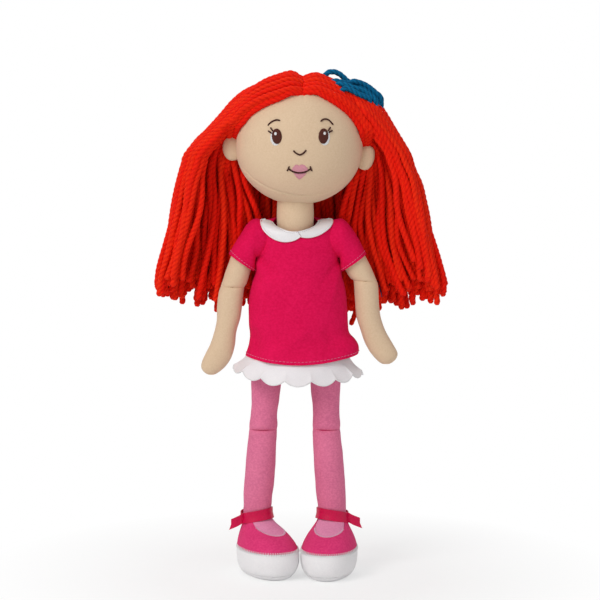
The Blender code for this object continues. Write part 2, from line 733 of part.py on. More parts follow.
def sleeve_rings(side, inset):
    """Return the sleeve's rings, from the armhole to the cuff, drawn in by an inset."""
    sign = SIDES[side]
    rows = []
    for out, drop, size, degrees in SLEEVE_RING_SHARES:
        x = BODY_X + sign * (ARMHOLE_OUT + SLEEVE_LENGTH * out)
        centre = Vector((x, BODY_Y, SHOULDER_Z - SLEEVE_LENGTH * drop))
        half_width = ARMHOLE_RADIUS * size - inset
        half_depth = half_width * SLEEVE_DEPTH_SHARE
        rows.append(tilted_ring(centre, half_width, half_depth, degrees, sign))
    return rows


def elbow_place(side):
    """Return the middle of the elbow crease."""
    x = BODY_X + SIDES[side] * (ARMHOLE_OUT + ELBOW_OUT[side])
    return Vector((x, BODY_Y, SHOULDER_Z - ELBOW_DROP[side]))


def make_arm(side):
    """Sleeve, stuffed upper arm, forearm with a mitten hand, and the elbow's sewn crease."""
    sign = SIDES[side]
    shoulder = (BODY_X + sign * ARMHOLE_OUT, BODY_Y, SHOULDER_Z)
    outer = smooth_rows(sleeve_rings(side, 0.0))
    inner = smooth_rows(sleeve_rings(side, CLOTH))
    add_object("sleeve_" + side, thick_sheet(outer, inner, True), JERSEY, shoulder)

    rings = smooth_rows(sleeve_rings(side, CLOTH + SLEEVE_EASE))
    out, drop, size, degrees = SLEEVE_RING_SHARES[-1]
    elbow = elbow_place(side)
    cuff = Vector((shoulder[0] + sign * SLEEVE_LENGTH * out, BODY_Y, SHOULDER_Z - SLEEVE_LENGTH * drop))
    cuff_width = ARMHOLE_RADIUS * size - CLOTH - SLEEVE_EASE
    end = elbow + Vector((0, 0, CREASE_REACH))
    for share in UPPER_ARM_PLACE_SHARES:
        centre = cuff.lerp(end, share)
        tilt = degrees + (90.0 - degrees) * math.sin(share * math.pi / 2.0)
        half_width = cuff_width + (ARM_HALF_WIDTH * FOREARM_SHARES[0][1] - cuff_width) * share
        distance = centre.z - end.z - half_width * math.cos(math.radians(tilt))
        half_depth = PINCH_TIP + pinched(ARM_HALF_DEPTH, max(distance, 0.0), ELBOW_PINCH_DEGREES)
        rings.append(tilted_ring(centre, half_width, half_depth, tilt, sign))
    add_object("upper_arm_" + side, loft(rings), SKIN, shoulder)
    make_forearm(side, elbow)
    make_stitch("elbow_stitch_" + side, elbow, ARM_HALF_WIDTH * FOREARM_SHARES[0][1], THREAD_BROWN)


def make_forearm(side, elbow):
    """Forearm and mitten hand in one stuffed piece."""
    sign = SIDES[side]
    rings = []
    for share in FOREARM_PLACE_SHARES:
        width, depth, out = smooth_table(FOREARM_SHARES, share)
        distance = FOREARM_LENGTH[side] * share
        x = elbow.x + sign * HAND_OUT[side] * out
        centre = Vector((x, BODY_Y - HAND_FORWARD * share, elbow.z - CREASE_REACH - distance))
        half_depth = PINCH_TIP + pinched(ARM_HALF_DEPTH * depth, distance, ELBOW_PINCH_DEGREES)
        rings.append(tilted_ring(centre, ARM_HALF_WIDTH * width, half_depth, 90.0, sign))
    add_object("forearm_" + side, loft(rings), SKIN, elbow)


def make_stitch(name, middle, half_width, colour):
    """Line of thread sewn through a limb, which is its hinge."""
    rings = []
    for x in (-half_width * STITCH_SHARE, half_width * STITCH_SHARE):
        centre = middle + Vector((x, 0, 0))
        rings.append(tilted_ring(centre, THREAD_RADIUS, THREAD_RADIUS, 0.0, 1.0, STITCH_POINTS))
    add_object(name, loft(rings), colour, middle)


def make_leg(side):
    """Stuffed thigh and shin in tights, and the knee's sewn crease."""
    sign = SIDES[side]
    hip = Vector((BODY_X + sign * HIP_OUT[side], BODY_Y, HIP_Z))
    knee = Vector((BODY_X + sign * KNEE_OUT[side], KNEE_Y, KNEE_Z))
    ankle = Vector((BODY_X + sign * ANKLE_OUT[side], ANKLE_Y, ANKLE_Z))
    reach = Vector((0, 0, CREASE_REACH))
    ends = (
        ("thigh_" + side, hip, hip - Vector((0, 0, HIP_REACH)), knee + reach, THIGH_SHARES, True),
        ("shin_" + side, knee, knee - reach, ankle + Vector((0, 0, SEAM_GAP)), SHIN_SHARES, False),
    )
    for name, origin, top, bottom, shares, pinched_below in ends:
        rings = []
        length = top.z - bottom.z
        for share in limb_shares((True, pinched_below)):
            width, depth = smooth_table(shares, share)
            full = LEG_HALF_DEPTH * depth
            upper = HIP_PINCH_DEGREES if pinched_below else KNEE_PINCH_DEGREES
            half_depth = pinched(full, length * share, upper)
            if pinched_below:
                half_depth = min(half_depth, pinched(full, length * (1.0 - share), KNEE_PINCH_DEGREES))
            centre = top.lerp(bottom, share)
            rings.append(oval(centre, LEG_HALF_WIDTH * width, half_depth + PINCH_TIP))
        add_object(name, loft(rings), TIGHTS, origin)
    make_stitch("knee_stitch_" + side, knee, LEG_HALF_WIDTH * SHIN_SHARES[0][1], TIGHTS)
    return ankle


def foot_place(side):
    """Return the foot's origin under the ankle and its turn about the vertical."""
    sign = SIDES[side]
    x = BODY_X + sign * ANKLE_OUT[side]
    return Vector((x, ANKLE_Y, 0)), -sign * math.radians(TOE_IN_DEGREES[side])


def placed(points, side):
    """Return points of a foot that points to -Y, set at the foot's place and turn."""
    origin, turn = foot_place(side)
    sine, cosine = math.sin(turn), math.cos(turn)
    spots = []
    for point in points:
        x, y = point.x * cosine - point.y * sine, point.x * sine + point.y * cosine
        spots.append(origin + Vector((x, y, point.z)))
    return spots


def foot_rings(side, table, low, tall, lift=0.0, leans=False):
    """Return rings of a layer of the foot between two heights, set inboard of the ankle."""
    rings = []
    for share, width, toe, heel in table:
        inboard = FOOT_INBOARD[side] * (1.0 - share if leans else 1.0)
        front = (SHOE_LENGTH - HEEL_BEHIND_ANKLE) * toe
        back = HEEL_BEHIND_ANKLE * heel
        centre = Vector((-SIDES[side] * inboard, (back - front) / 2.0, low + lift + (tall - lift) * share))
        half_length = (front + back) / 2.0
        ring = oval(centre, SHOE_HALF_WIDTH * width, half_length, FOOT_POINTS, SHOE_SQUARENESS)
        rings.append(placed(ring, side))
    return rings


def instep_column(side, gap):
    """Return the upright column that parts the instep from the shoe upper."""
    centre = Vector((0, -INSTEP_FORWARD, 0))
    half_width = INSTEP_HALF_WIDTH + gap
    half_length = INSTEP_HALF_LENGTH + gap
    rings = []
    for z in (SOLE_PANEL_HEIGHT, ANKLE_Z + SHOE_UPPER_HEIGHT):
        ring = oval(centre + Vector((0, 0, z)), half_width, half_length, FOOT_POINTS)
        rings.append(placed(ring, side))
    return loft(rings)


def make_foot(side):
    """Soft shoe: bottom panel, side wall, upper with its opening, and the instep inside it."""
    origin = foot_place(side)[0]
    panel = foot_rings(side, SOLE_PANEL_SHARES, 0.0, SOLE_PANEL_HEIGHT)
    add_object("sole_bottom_" + side, loft(panel), WHITE, origin)
    wall = foot_rings(side, SOLE_WALL_SHARES, SOLE_PANEL_HEIGHT, SOLE_WALL_HEIGHT, SEAM_GAP)
    add_object("sole_wall_" + side, loft(wall), WHITE, origin)
    upper_rings = foot_rings(side, SHOE_UPPER_SHARES, SOLE_SEAM_Z, SHOE_UPPER_HEIGHT, SEAM_GAP, True)
    upper = add_object("shoe_upper_" + side, loft(upper_rings), SHOE_PINK, origin)
    cut(upper, add_cutter("instep_room_" + side, instep_column(side, SEAM_GAP)))
    instep = add_object("instep_" + side, loft(upper_rings), INSTEP_PINK, origin)
    cut(instep, add_cutter("instep_space_" + side, instep_column(side, 0.0)), "INTERSECT")


def make_strap(side):
    """Ribbon round the ankle, sewn together at the outer side, with one free tail."""
    sign = SIDES[side]
    reach = ANKLE_RADIUS + STRAP_EASE
    path = [(reach + STRAP_TAIL * share, side_way) for share, side_way in STRAP_TAIL_SHARES]
    spots = [(along, THREAD_RADIUS * side_way, 0.0) for along, side_way in path]
    for index in range(STRAP_STEPS + 1):
        turn = math.radians(STRAP_START_DEGREES + (360.0 - 2.0 * STRAP_START_DEGREES) * index / STRAP_STEPS)
        lift = math.sin(turn) * STRAP_LIFT
        spots.append((reach * math.cos(turn), -(reach + STRAP_FRONT_EASE) * math.sin(turn), lift))
    rows = []
    for edge in (-0.5, 0.5):
        z = ANKLE_Z + STRAP_ABOVE_ANKLE + STRAP_WIDTH * edge
        row = [Vector((sign * x, y, z + lift)) for x, y, lift in spots]
        rows.append(placed(row, side))
    grid = [rows[0], [low.lerp(high, 0.5) for low, high in zip(*rows)], rows[1]]
    body = thick_sheet(grid, lifted(grid, -sign * RIBBON))
    add_object("ankle_strap_" + side, body, RIBBON_PINK, foot_place(side)[0])


def make_tunic():
    """Front and two back panels of the tunic, and the closure tape inside the back opening."""
    gap = SEAM_GAP / NECK_RADIUS
    quarter = math.pi / 2.0
    panels = {
        "dress_front": (-quarter + gap, quarter - gap, 2 * PANEL_COLUMNS - 1),
        "dress_back_left": (quarter + gap, math.pi - gap, PANEL_COLUMNS),
        "dress_back_right": (math.pi + gap, math.pi + quarter - gap, PANEL_COLUMNS),
    }
    for name, (start, end, count) in panels.items():
        grid = tunic_grid(spread(start, end, count))
        body = thick_sheet(grid, lifted(grid, -CLOTH))
        add_object(name, body, JERSEY, (BODY_X, BODY_Y, HIP_Z))
    half = TAPE_WIDTH / 2.0 / TUNIC_HALF_DEPTH
    grid = tunic_grid(spread(math.pi - half, math.pi + half, TAPE_COLUMNS))
    top = TORSO_TOP_Z - TAPE_BELOW_TOP
    strip = [row for row in grid if top - TAPE_LENGTH < row[0].z < top]
    body = thick_sheet(lifted(strip, -CLOTH - SEAM_GAP), lifted(strip, -CLOTH - SEAM_GAP - TAPE_THICKNESS))
    add_object("back_closure_tape", body, WHITE, (BODY_X, BODY_Y, HIP_Z))


def make_collar(side):
    """One rounded half of the flat collar, lying on the yoke from the front to the shoulder."""
    sign = SIDES[side]
    gap = SEAM_GAP / NECK_RADIUS
    angles = [sign * angle for angle in spread(gap, math.radians(COLLAR_SPAN_DEGREES), PANEL_COLUMNS)]
    if sign < 0:
        angles.reverse()
    columns = [list(reversed(column)) for column in zip(*tunic_grid(angles, COLLAR_STEPS))]
    rows = []
    for share in COLLAR_ROW_SHARES:
        row = []
        for angle, column in zip(angles, columns):
            turned = abs(angle) / math.radians(COLLAR_SPAN_DEGREES)
            swell = math.sin(min(turned / COLLAR_CORNER_SHARE, 1.0) * math.pi / 2.0)
            width = COLLAR_WIDTH * (COLLAR_FRONT_SHARE + (1.0 - COLLAR_FRONT_SHARE) * swell)
            row.append(along_line(column, width * share))
        rows.append(row)
    low, high = lifted(rows, SEAM_GAP), lifted(rows, SEAM_GAP + RIBBON)
    add_object("collar_" + side, thick_sheet(high, low), WHITE, (NECK_X, BODY_Y, TORSO_TOP_Z))


def along_line(points, distance):
    """Return the point at a distance along a line of points."""
    for start, end in zip(points, points[1:]):
        length = (end - start).length
        if distance <= length:
            return start.lerp(end, distance / length)
        distance -= length
    return points[-1].copy()


def make_petticoat():
    """White skirt under the tunic, with its flared and scalloped edge."""
    count = SCALLOPS * SCALLOP_POINTS
    inset = CLOTH + SEAM_GAP + SEAM_GAP
    flare_width = PETTICOAT_HALF_WIDTH - TUNIC_HALF_WIDTH * TUNIC_ROW_SHARES[0][1] + inset
    flare_depth = PETTICOAT_HALF_DEPTH - TUNIC_HALF_DEPTH * TUNIC_ROW_SHARES[0][2] + inset
    rows = []
    for share in PETTICOAT_ROW_SHARES:
        width, depth = smooth_table(TUNIC_ROW_SHARES, share)
        half_width, half_depth = TUNIC_HALF_WIDTH * width - inset, TUNIC_HALF_DEPTH * depth - inset
        rows.append((height(share), half_width, half_depth, 0.0))
    hem_z = height(TUNIC_ROW_SHARES[0][0])
    fall = hem_z - (HIP_Z - PETTICOAT_DROP)
    for share in (0.5, 1.0):
        half_width = rows[0][1] + flare_width * share
        half_depth = rows[0][2] + flare_depth * share
        rows.insert(0, (hem_z - fall * share, half_width, half_depth, share))
    grid = []
    for z, half_width, half_depth, scallop in rows:
        row = []
        for index in range(count):
            angle = 2.0 * math.pi * index / count
            lobe = abs(math.cos(angle * SCALLOPS / 2.0)) ** SCALLOP_POWER
            side, front = math.sin(angle) * half_width, math.cos(angle) * half_depth
            row.append(Vector((BODY_X + side, BODY_Y - front, z + SCALLOP_DEPTH * scallop * (1.0 - lobe))))
        grid.append(row)
    body = thick_sheet(grid, lifted(grid, -RIBBON, True), True)
    add_object("petticoat", body, WHITE, (BODY_X, BODY_Y, HIP_Z))


def main():
    """Build the whole doll."""
    clear_scene()
    make_torso()
    make_head()
    add_cutter("head_room", head_ball(SEAM_GAP))
    for side in SIDES:
        make_ear(side)
        make_curtain(side)
        make_arm(side)
        make_leg(side)
        make_foot(side)
        make_strap(side)
        make_collar(side)
    make_caps()
    make_blue_bundle()
    make_tunic()
    make_petticoat()


main()
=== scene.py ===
"""Looks of a standing rag doll: stuffed cloth, yarn hair, jersey tunic, petticoat, tights and soft shoes.

Sizes are in millimetres in the frame's own axes: +Z up, the doll faces -Y, its left side is +X.
"""

import math
import random

import bpy
import numpy as np
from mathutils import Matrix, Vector, noise


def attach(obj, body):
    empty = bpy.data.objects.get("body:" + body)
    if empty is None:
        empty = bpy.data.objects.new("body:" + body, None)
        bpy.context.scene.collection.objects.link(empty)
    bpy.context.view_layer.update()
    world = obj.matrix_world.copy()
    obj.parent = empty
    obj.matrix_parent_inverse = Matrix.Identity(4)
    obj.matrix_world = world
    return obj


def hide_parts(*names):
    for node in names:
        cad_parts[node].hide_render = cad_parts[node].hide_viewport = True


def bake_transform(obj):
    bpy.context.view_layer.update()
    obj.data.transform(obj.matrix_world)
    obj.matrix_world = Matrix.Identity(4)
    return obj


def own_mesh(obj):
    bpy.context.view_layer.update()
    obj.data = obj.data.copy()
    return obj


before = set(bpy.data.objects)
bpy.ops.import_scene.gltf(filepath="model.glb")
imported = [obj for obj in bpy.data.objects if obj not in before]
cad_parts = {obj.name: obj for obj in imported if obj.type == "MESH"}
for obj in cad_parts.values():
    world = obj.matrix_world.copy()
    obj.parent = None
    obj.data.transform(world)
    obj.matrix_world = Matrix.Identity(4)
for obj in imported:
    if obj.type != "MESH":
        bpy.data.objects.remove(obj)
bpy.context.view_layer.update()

MM = 0.001
SIDES = {"left": 1.0, "right": -1.0}

# Camera and the photograph's frame
LENS = 120.0
SENSOR = 36.0
FRAME_PX = 600.0
CAMERA = np.array((1.5, -1493.0, 350.0))
AIM = np.array((1.5, 0.0, 208.5))

# Places that the frame gives
HIP_Z = 172.0
KNEE_Z = 111.0
ANKLE_Z = 44.0
TORSO_TOP_Z = 262.0
SHOULDER_Z = 255.0
NOD_Z = 284.0
TACK_Z = 332.0
BODY_Y = -4.0
KNEE_Y = 0.0
ANKLE_Y = 8.0
NECK_X = -2.0
HIP_X = {"left": 20.3, "right": -22.0}
KNEE_X = {"left": 21.4, "right": -26.3}
ANKLE_X = {"left": 26.2, "right": -31.5}
ARMHOLE_X = 31.9

HEAD = np.array((1.0, -6.0, 323.0))
HEAD_HALF_WIDTH = 47.0
HEAD_HALF_DEPTH = 38.0
CROWN_RISE = 50.0
CHIN_DROP = 42.5


# Geometry helpers

SHARP_ANGLE = math.radians(50.0)


def smooth_step(points, index, t):
    """Return the place at share t of the stretch after a point, on a smooth line through the points."""
    last = len(points) - 1
    before, start, end, after = (points[min(max(place, 0), last)] for place in range(index - 1, index + 3))
    return 0.5 * (2 * start + (end - before) * t + (2 * before - 5 * start + 4 * end - after) * t * t
                  + (3 * start - before - 3 * end + after) * t ** 3)


def curve_through(points, steps):
    """Return a smooth line through the points, with this many steps between two of them."""
    points = np.asarray(points, float)
    places = [(index, step / steps) for index in range(len(points) - 1) for step in range(steps)]
    return np.array([smooth_step(points, *place) for place in places] + [points[-1]])


def table(rows, at):
    """Return the columns of a table read smoothly at a value of its first column, which grows."""
    rows = np.asarray(rows, float)
    index = int(np.clip(np.searchsorted(rows[:, 0], at) - 1, 0, len(rows) - 2))
    t = float(np.clip((at - rows[index, 0]) / (rows[index + 1, 0] - rows[index, 0]), 0.0, 1.0))
    return smooth_step(rows[:, 1:], index, t)


def travelled(points):
    """Return how far along a line each of its points lies."""
    return np.concatenate(([0.0], np.cumsum(np.linalg.norm(np.diff(points, axis=0), axis=1))))


def spaced(points, count):
    """Return this many points at even steps along a line."""
    lengths = travelled(points)
    at = np.linspace(0.0, lengths[-1], count)
    return np.stack([np.interp(at, lengths, points[:, axis]) for axis in range(points.shape[1])], axis=1)


def even(points, step):
    """Return points along a line at even steps of about this length."""
    points = np.asarray(points, float)
    return spaced(points, max(int(round(travelled(points)[-1] / step)), 2) + 1)


def ring_angles(count):
    """Return the angles of a ring's points."""
    return np.linspace(0.0, 2.0 * np.pi, count, endpoint=False)


def oval(centre, half_width, half_depth, count, power=2.0):
    """Return a level ring round a centre, starting in front and turning to the doll's left."""
    side, front = np.sin(ring_angles(count)), -np.cos(ring_angles(count))
    reach = (np.abs(side) ** power + np.abs(front) ** power) ** (-1.0 / power)
    ring = np.zeros((count, 3))
    ring[:, 0] = side * half_width * reach
    ring[:, 1] = front * half_depth * reach
    return ring + np.asarray(centre, float)


def rings_across(line, side, over, size, columns):
    """Return rings round a line, where side and over are two directions across it at each point."""
    angle = ring_angles(columns)
    ring = side[:, None] * np.cos(angle)[None, :, None] + over[:, None] * np.sin(angle)[None, :, None]
    return line[:, None] + ring * size


def unit(vectors):
    """Return vectors of length 1."""
    return vectors / np.maximum(np.linalg.norm(vectors, axis=-1, keepdims=True), 1e-9)


def quads(rows, columns, around):
    """Return the faces of a grid of points."""
    grid = np.arange(rows * columns).reshape(rows, columns)
    if around:
        grid = np.concatenate((grid, grid[:, :1]), axis=1)
    corners = (grid[:-1, :-1], grid[:-1, 1:], grid[1:, 1:], grid[1:, :-1])
    return np.stack([corner.ravel() for corner in corners], axis=1)


def tube_faces(rows, columns):
    """Return a tube's faces; a fan closes each end round one of the two points that follow the rings'."""
    faces = [tuple(face) for face in quads(rows, columns, True)]
    low, last = rows * columns, (rows - 1) * columns
    for column in range(columns):
        after = (column + 1) % columns
        faces += [(low, after, column), (low + 1, last + column, last + after)]
    return faces


def shifted(faces, count):
    """Return faces for points that come after this many others."""
    return [tuple(index + count for index in face) for face in faces]


def linked(name, data):
    """Return a new object, linked to the scene."""
    thing = bpy.data.objects.new(name, data)
    bpy.context.collection.objects.link(thing)
    return thing


def add_mesh(name, points, faces, material, sharp=True):
    """Link a smooth mesh whose points are given in millimetres."""
    mesh = bpy.data.meshes.new(name)
    mesh.from_pydata((np.asarray(points) * MM).tolist(), [], [list(map(int, face)) for face in faces])
    mesh.update()
    mesh.shade_smooth()
    if sharp:
        mesh.set_sharp_from_angle(angle=SHARP_ANGLE)
    mesh.materials.append(material)
    piece = linked(name, mesh)
    return piece


def tube(name, rows, material):
    """Link a closed piece through rings of points."""
    rows = np.asarray(rows, float)
    points = np.vstack((rows.reshape(-1, 3), rows[0].mean(axis=0), rows[-1].mean(axis=0)))
    return add_mesh(name, points, tube_faces(*rows.shape[:2]), material)


def surface_normals(rows, around):
    """Return unit normals of a grid of points."""
    rows = np.asarray(rows, float)
    if around:
        along = np.roll(rows, -1, axis=1) - np.roll(rows, 1, axis=1)
    else:
        along = np.gradient(rows, axis=1)
    return unit(np.cross(along, np.gradient(rows, axis=0)))


def cloth_mesh(name, rows, thickness, material, around=False):
    """Link a sheet of cloth through a grid of points, with its thickness on the inner side."""
    rows = np.asarray(rows, float)
    inner = rows - surface_normals(rows, around) * thickness
    count, columns = rows.shape[:2]
    outer_faces, shift = quads(count, columns, around), count * columns
    grid = np.arange(shift).reshape(count, columns)
    rim = []
    for column in range(columns if around else columns - 1):
        after = (column + 1) % columns
        rim += [(grid[0, after], grid[0, column]), (grid[-1, column], grid[-1, after])]
    for row in range(0 if around else count - 1):
        rim += [(grid[row, 0], grid[row + 1, 0]), (grid[row + 1, -1], grid[row, -1])]
    faces = [*outer_faces, *(outer_faces[:, ::-1] + shift), *((a, b, b + shift, a + shift) for a, b in rim)]
    return add_mesh(name, np.concatenate((rows.reshape(-1, 3), inner.reshape(-1, 3))), faces, material)


def wrinkle(point, scale, seed):
    """Return smooth noise between -1 and 1 at a point in millimetres."""
    return noise.noise(Vector((point[0] / scale + seed, point[1] / scale - seed, point[2] / scale + seed)))


def puckers(rows, scale, seed):
    """Return smooth noise at each point of a grid."""
    return np.array([[wrinkle(point, scale, seed) for point in row] for row in rows])


def pushed(rows, push, around=True):
    """Return a grid of points, each moved outwards by its own amount."""
    return rows + surface_normals(rows, around) * push[:, :, None]


# Materials


def new_material(name, roughness, sheen=0.0, specular=0.5):
    """Return a material with its tree and shader."""
    material = bpy.data.materials.new(name)
    material.use_nodes = True
    shader = material.node_tree.nodes["Principled BSDF"]
    shader.inputs["Roughness"].default_value = roughness
    shader.inputs["Sheen Weight"].default_value = sheen
    shader.inputs["Specular IOR Level"].default_value = specular
    return material, material.node_tree, shader


def noise_node(tree, scale, stretch=(1.0, 1.0, 1.0), detail=2.0):
    """Return a noise texture in object coordinates, in features per metre, stretched per axis."""
    place = tree.nodes.new("ShaderNodeTexCoord")
    mapping = tree.nodes.new("ShaderNodeMapping")
    mapping.inputs["Scale"].default_value = stretch
    texture = tree.nodes.new("ShaderNodeTexNoise")
    texture.inputs["Scale"].default_value = scale
    texture.inputs["Detail"].default_value = detail
    tree.links.new(place.outputs["Object"], mapping.inputs["Vector"])
    tree.links.new(mapping.outputs["Vector"], texture.inputs["Vector"])
    return texture.outputs["Fac"]


def ramp(tree, value, low, high, least=0.0):
    """Return a value spread from the least to 1 between two levels."""
    node = tree.nodes.new("ShaderNodeMapRange")
    node.inputs["From Min"].default_value = low
    node.inputs["From Max"].default_value = high
    node.inputs["To Min"].default_value = least
    tree.links.new(value, node.inputs["Value"])
    return node.outputs["Result"]


def mix(tree, factor, first, second):
    """Return a mixed colour; each of the two is a colour or a socket."""
    node = tree.nodes.new("ShaderNodeMix")
    node.data_type = "RGBA"
    tree.links.new(factor, node.inputs["Factor"])
    for name, value in (("A", first), ("B", second)):
        socket = [i for i in node.inputs if i.name == name and i.type == "RGBA"][0]
        if isinstance(value, tuple):
            socket.default_value = (*value, 1.0)
        else:
            tree.links.new(value, socket)
    return [o for o in node.outputs if o.type == "RGBA"][0]


def finished(tree, shader, colour, *bumps):
    """Give a shader its colour and its bumps on top of each other: each a noise, a strength and a depth."""
    tree.links.new(colour, shader.inputs["Base Color"])
    below = None
    for value, strength, depth in bumps:
        node = tree.nodes.new("ShaderNodeBump")
        node.inputs["Strength"].default_value = strength
        node.inputs["Distance"].default_value = depth
        tree.links.new(value, node.inputs["Height"])
        if below:
            tree.links.new(below, node.inputs["Normal"])
        below = node.outputs["Normal"]
    tree.links.new(below, shader.inputs["Normal"])


def jersey(name, dark, light, streak, sheen):
    """Heathered knit: fine streaks of two dyes, over a fine knit bump."""
    material, tree, shader = new_material(name, 0.88, sheen, 0.15)
    streaks = ramp(tree, noise_node(tree, 620.0, streak, 3.0), 0.36, 0.66)
    blotch = ramp(tree, noise_node(tree, 60.0), 0.3, 0.7)
    colour = mix(tree, streaks, dark, light)
    shade = mix(tree, blotch, tuple(c * 0.95 for c in dark), tuple(min(c * 1.04, 1.0) for c in light))
    finished(tree, shader, mix(tree, ramp(tree, blotch, -1.0, 5.0), colour, shade),
             (noise_node(tree, 900.0, (1.0, 1.0, 1.6)), 0.35, 0.0003),
             (noise_node(tree, 120.0), 0.25, 0.0008))
    return material


def nap(name, colour, light):
    """Short-napped cloth of the skin."""
    material, tree, shader = new_material(name, 0.9, 0.15)
    grain = ramp(tree, noise_node(tree, 900.0, detail=3.0), 0.3, 0.7)
    soft = ramp(tree, noise_node(tree, 45.0), 0.3, 0.7)
    mixed = mix(tree, grain, colour, light)
    finished(tree, shader, mix(tree, ramp(tree, soft, -0.6, 2.6), mixed, light),
             (noise_node(tree, 1300.0, detail=3.0), 0.3, 0.0002), (noise_node(tree, 160.0), 0.15, 0.0008))
    return material


def satin(name, colour, shade, roughness=0.42, specular=0.5):
    """Smooth woven satin with a soft gloss."""
    material, tree, shader = new_material(name, roughness, 0.0, specular)
    weave = ramp(tree, noise_node(tree, 700.0, (3.0, 3.0, 0.6), 1.0), 0.3, 0.7)
    finished(tree, shader, mix(tree, weave, colour, shade),
             (noise_node(tree, 1100.0, (3.0, 3.0, 0.6), 1.0), 0.15, 0.0002),
             (noise_node(tree, 130.0), 0.3, 0.0007))
    return material


def plain_cloth(name, colour, shade):
    """Plain woven white cloth with small puckers."""
    material, tree, shader = new_material(name, 0.8, 0.1)
    weave = ramp(tree, noise_node(tree, 1200.0, detail=1.0), 0.3, 0.7)
    finished(tree, shader, mix(tree, weave, colour, shade),
             (noise_node(tree, 1300.0), 0.2, 0.0002), (noise_node(tree, 110.0), 0.5, 0.0010))
    return material


def yarn(name, dark, middle, light):
    """Twisted yarn with painted shade in its ply grooves, a little different from strand to strand."""
    material, tree, shader = new_material(name, 0.85, 0.0, 0.15)
    groove = tree.nodes.new("ShaderNodeAttribute")
    groove.attribute_name = "groove"
    tone = tree.nodes.new("ShaderNodeAttribute")
    tone.attribute_name = "tone"
    fibres = ramp(tree, noise_node(tree, 1500.0, (1.0, 1.0, 0.35), 3.0), 0.3, 0.7)
    body = mix(tree, tone.outputs["Fac"], middle, light)
    body = mix(tree, ramp(tree, fibres, -0.5, 3.0), body, dark)
    # Painted shade: the dark colour is laid into the grooves between plies, by the groove attribute
    finished(tree, shader, mix(tree, groove.outputs["Fac"], body, dark),
             (noise_node(tree, 1800.0, (1.0, 1.0, 0.4), 3.0), 0.5, 0.0003))
    return material


def thread(name, colour):
    """Sewing and embroidery thread."""
    material, tree, shader = new_material(name, 0.5, 0.0, 0.25)
    fibres = ramp(tree, noise_node(tree, 2500.0), 0.3, 0.7)
    finished(tree, shader, mix(tree, fibres, tuple(c * 0.75 for c in colour), colour),
             (noise_node(tree, 3000.0), 0.2, 0.0001))
    return material


SKIN = nap("skin_cloth", (0.64, 0.46, 0.30), (0.71, 0.53, 0.36))
PINK = jersey("dress_jersey", (0.66, 0.001, 0.065), (0.76, 0.005, 0.090), (0.9, 0.9, 1.1), 0.0)
TIGHTS = jersey("tights_jersey", (0.66, 0.15, 0.285), (0.78, 0.205, 0.345), (1.0, 1.0, 1.3), 0.04)
SHOE = jersey("shoe_jersey", (0.66, 0.028, 0.15), (0.76, 0.050, 0.20), (1.1, 1.1, 1.3), 0.04)
INSTEP = jersey("instep_jersey", (0.72, 0.24, 0.42), (0.82, 0.31, 0.50), (1.1, 1.1, 1.3), 0.04)
WHITE = plain_cloth("white_cloth", (0.83, 0.82, 0.84), (0.88, 0.87, 0.88))
SATIN = satin("white_satin", (0.80, 0.79, 0.81), (0.76, 0.75, 0.78))
PETTICOAT = satin("petticoat_satin", (0.82, 0.80, 0.82), (0.78, 0.76, 0.79), 0.5)
RIBBON = satin("pink_ribbon", (0.64, 0.0, 0.07), (0.54, 0.0, 0.055), 0.45, 0.25)
# Each yarn's first colour is both its fibres' darker tone and the painted shade in the grooves between plies
RED = yarn("red_yarn", (0.60, 0.001, 0.0), (0.93, 0.012, 0.001), (0.97, 0.035, 0.003))
BLUE = yarn("blue_yarn", (0.0, 0.04, 0.10), (0.0, 0.14, 0.31), (0.0, 0.20, 0.42))
BROWN = thread("brown_thread", (0.050, 0.008, 0.004))
EYE = thread("eye_thread", (0.085, 0.016, 0.008))
LIP = thread("lip_thread", (0.74, 0.33, 0.40))
EYE_WHITE = thread("eye_white_thread", (0.85, 0.85, 0.86))
# Real elbow stitches, darkened to brown as painted shade of the crease
SHADED_CREASE_THREAD = thread("shaded_crease_thread", (0.36, 0.20, 0.11))
TIGHTS_THREAD = thread("tights_thread", (0.62, 0.02, 0.12))
HEM_THREAD = thread("hem_thread", (0.82, 0.15, 0.32))
WHITE_THREAD = thread("white_thread", (0.85, 0.85, 0.86))
COLLAR_THREAD = thread("collar_thread", (0.55, 0.52, 0.56))
PALE_THREAD = thread("pale_thread", (0.85, 0.50, 0.66))


# Camera, floor and lights


def facing(position, target):
    """Return the turn of a camera or lamp that looks from one point to another."""
    return (Vector(target) - Vector(position)).to_track_quat("-Z", "Y").to_euler()


def make_camera():
    """Camera at the photograph's angle."""
    data = bpy.data.cameras.new("camera")
    data.lens = LENS
    data.sensor_width = SENSOR
    camera = linked("camera", data)
    camera.location = CAMERA * MM
    camera.rotation_euler = facing(CAMERA, AIM)
    bpy.context.scene.camera = camera


def pixel_ray(px, py):
    """Return the camera's place and the direction in which it sees a point of the photograph."""
    forward = (AIM - CAMERA) / np.linalg.norm(AIM - CAMERA)
    right = np.cross(forward, (0.0, 0.0, 1.0))
    right /= np.linalg.norm(right)
    up = np.cross(right, forward)
    scale = SENSOR / LENS / FRAME_PX
    direction = forward + right * (px - FRAME_PX / 2) * scale - up * (py - FRAME_PX / 2) * scale
    return CAMERA, direction / np.linalg.norm(direction)


# Half size of the floor, and the distances between which it turns from a least share of white to white
FLOOR_HALF = 6.0
FLOOR_NEAR = 0.10
FLOOR_FAR = 0.25
FLOOR_LEAST = 0.55
WORLD_STRENGTH = 0.42

# Place, size, power and colour of the lamps, and the place that they face; in metres like the floor
LAMPS = {
    "key": ((-1.1, -1.4, 1.5), 1.0, 22.0, (1.0, 0.985, 0.96)),
    "fill": ((1.3, -1.3, 0.8), 1.2, 3.0, (1.0, 1.0, 1.0)),
    "top": ((-0.2, 0.3, 1.6), 1.2, 5.0, (1.0, 1.0, 1.0)),
}
LAMP_AIM = (0.0, 0.0, 0.2)


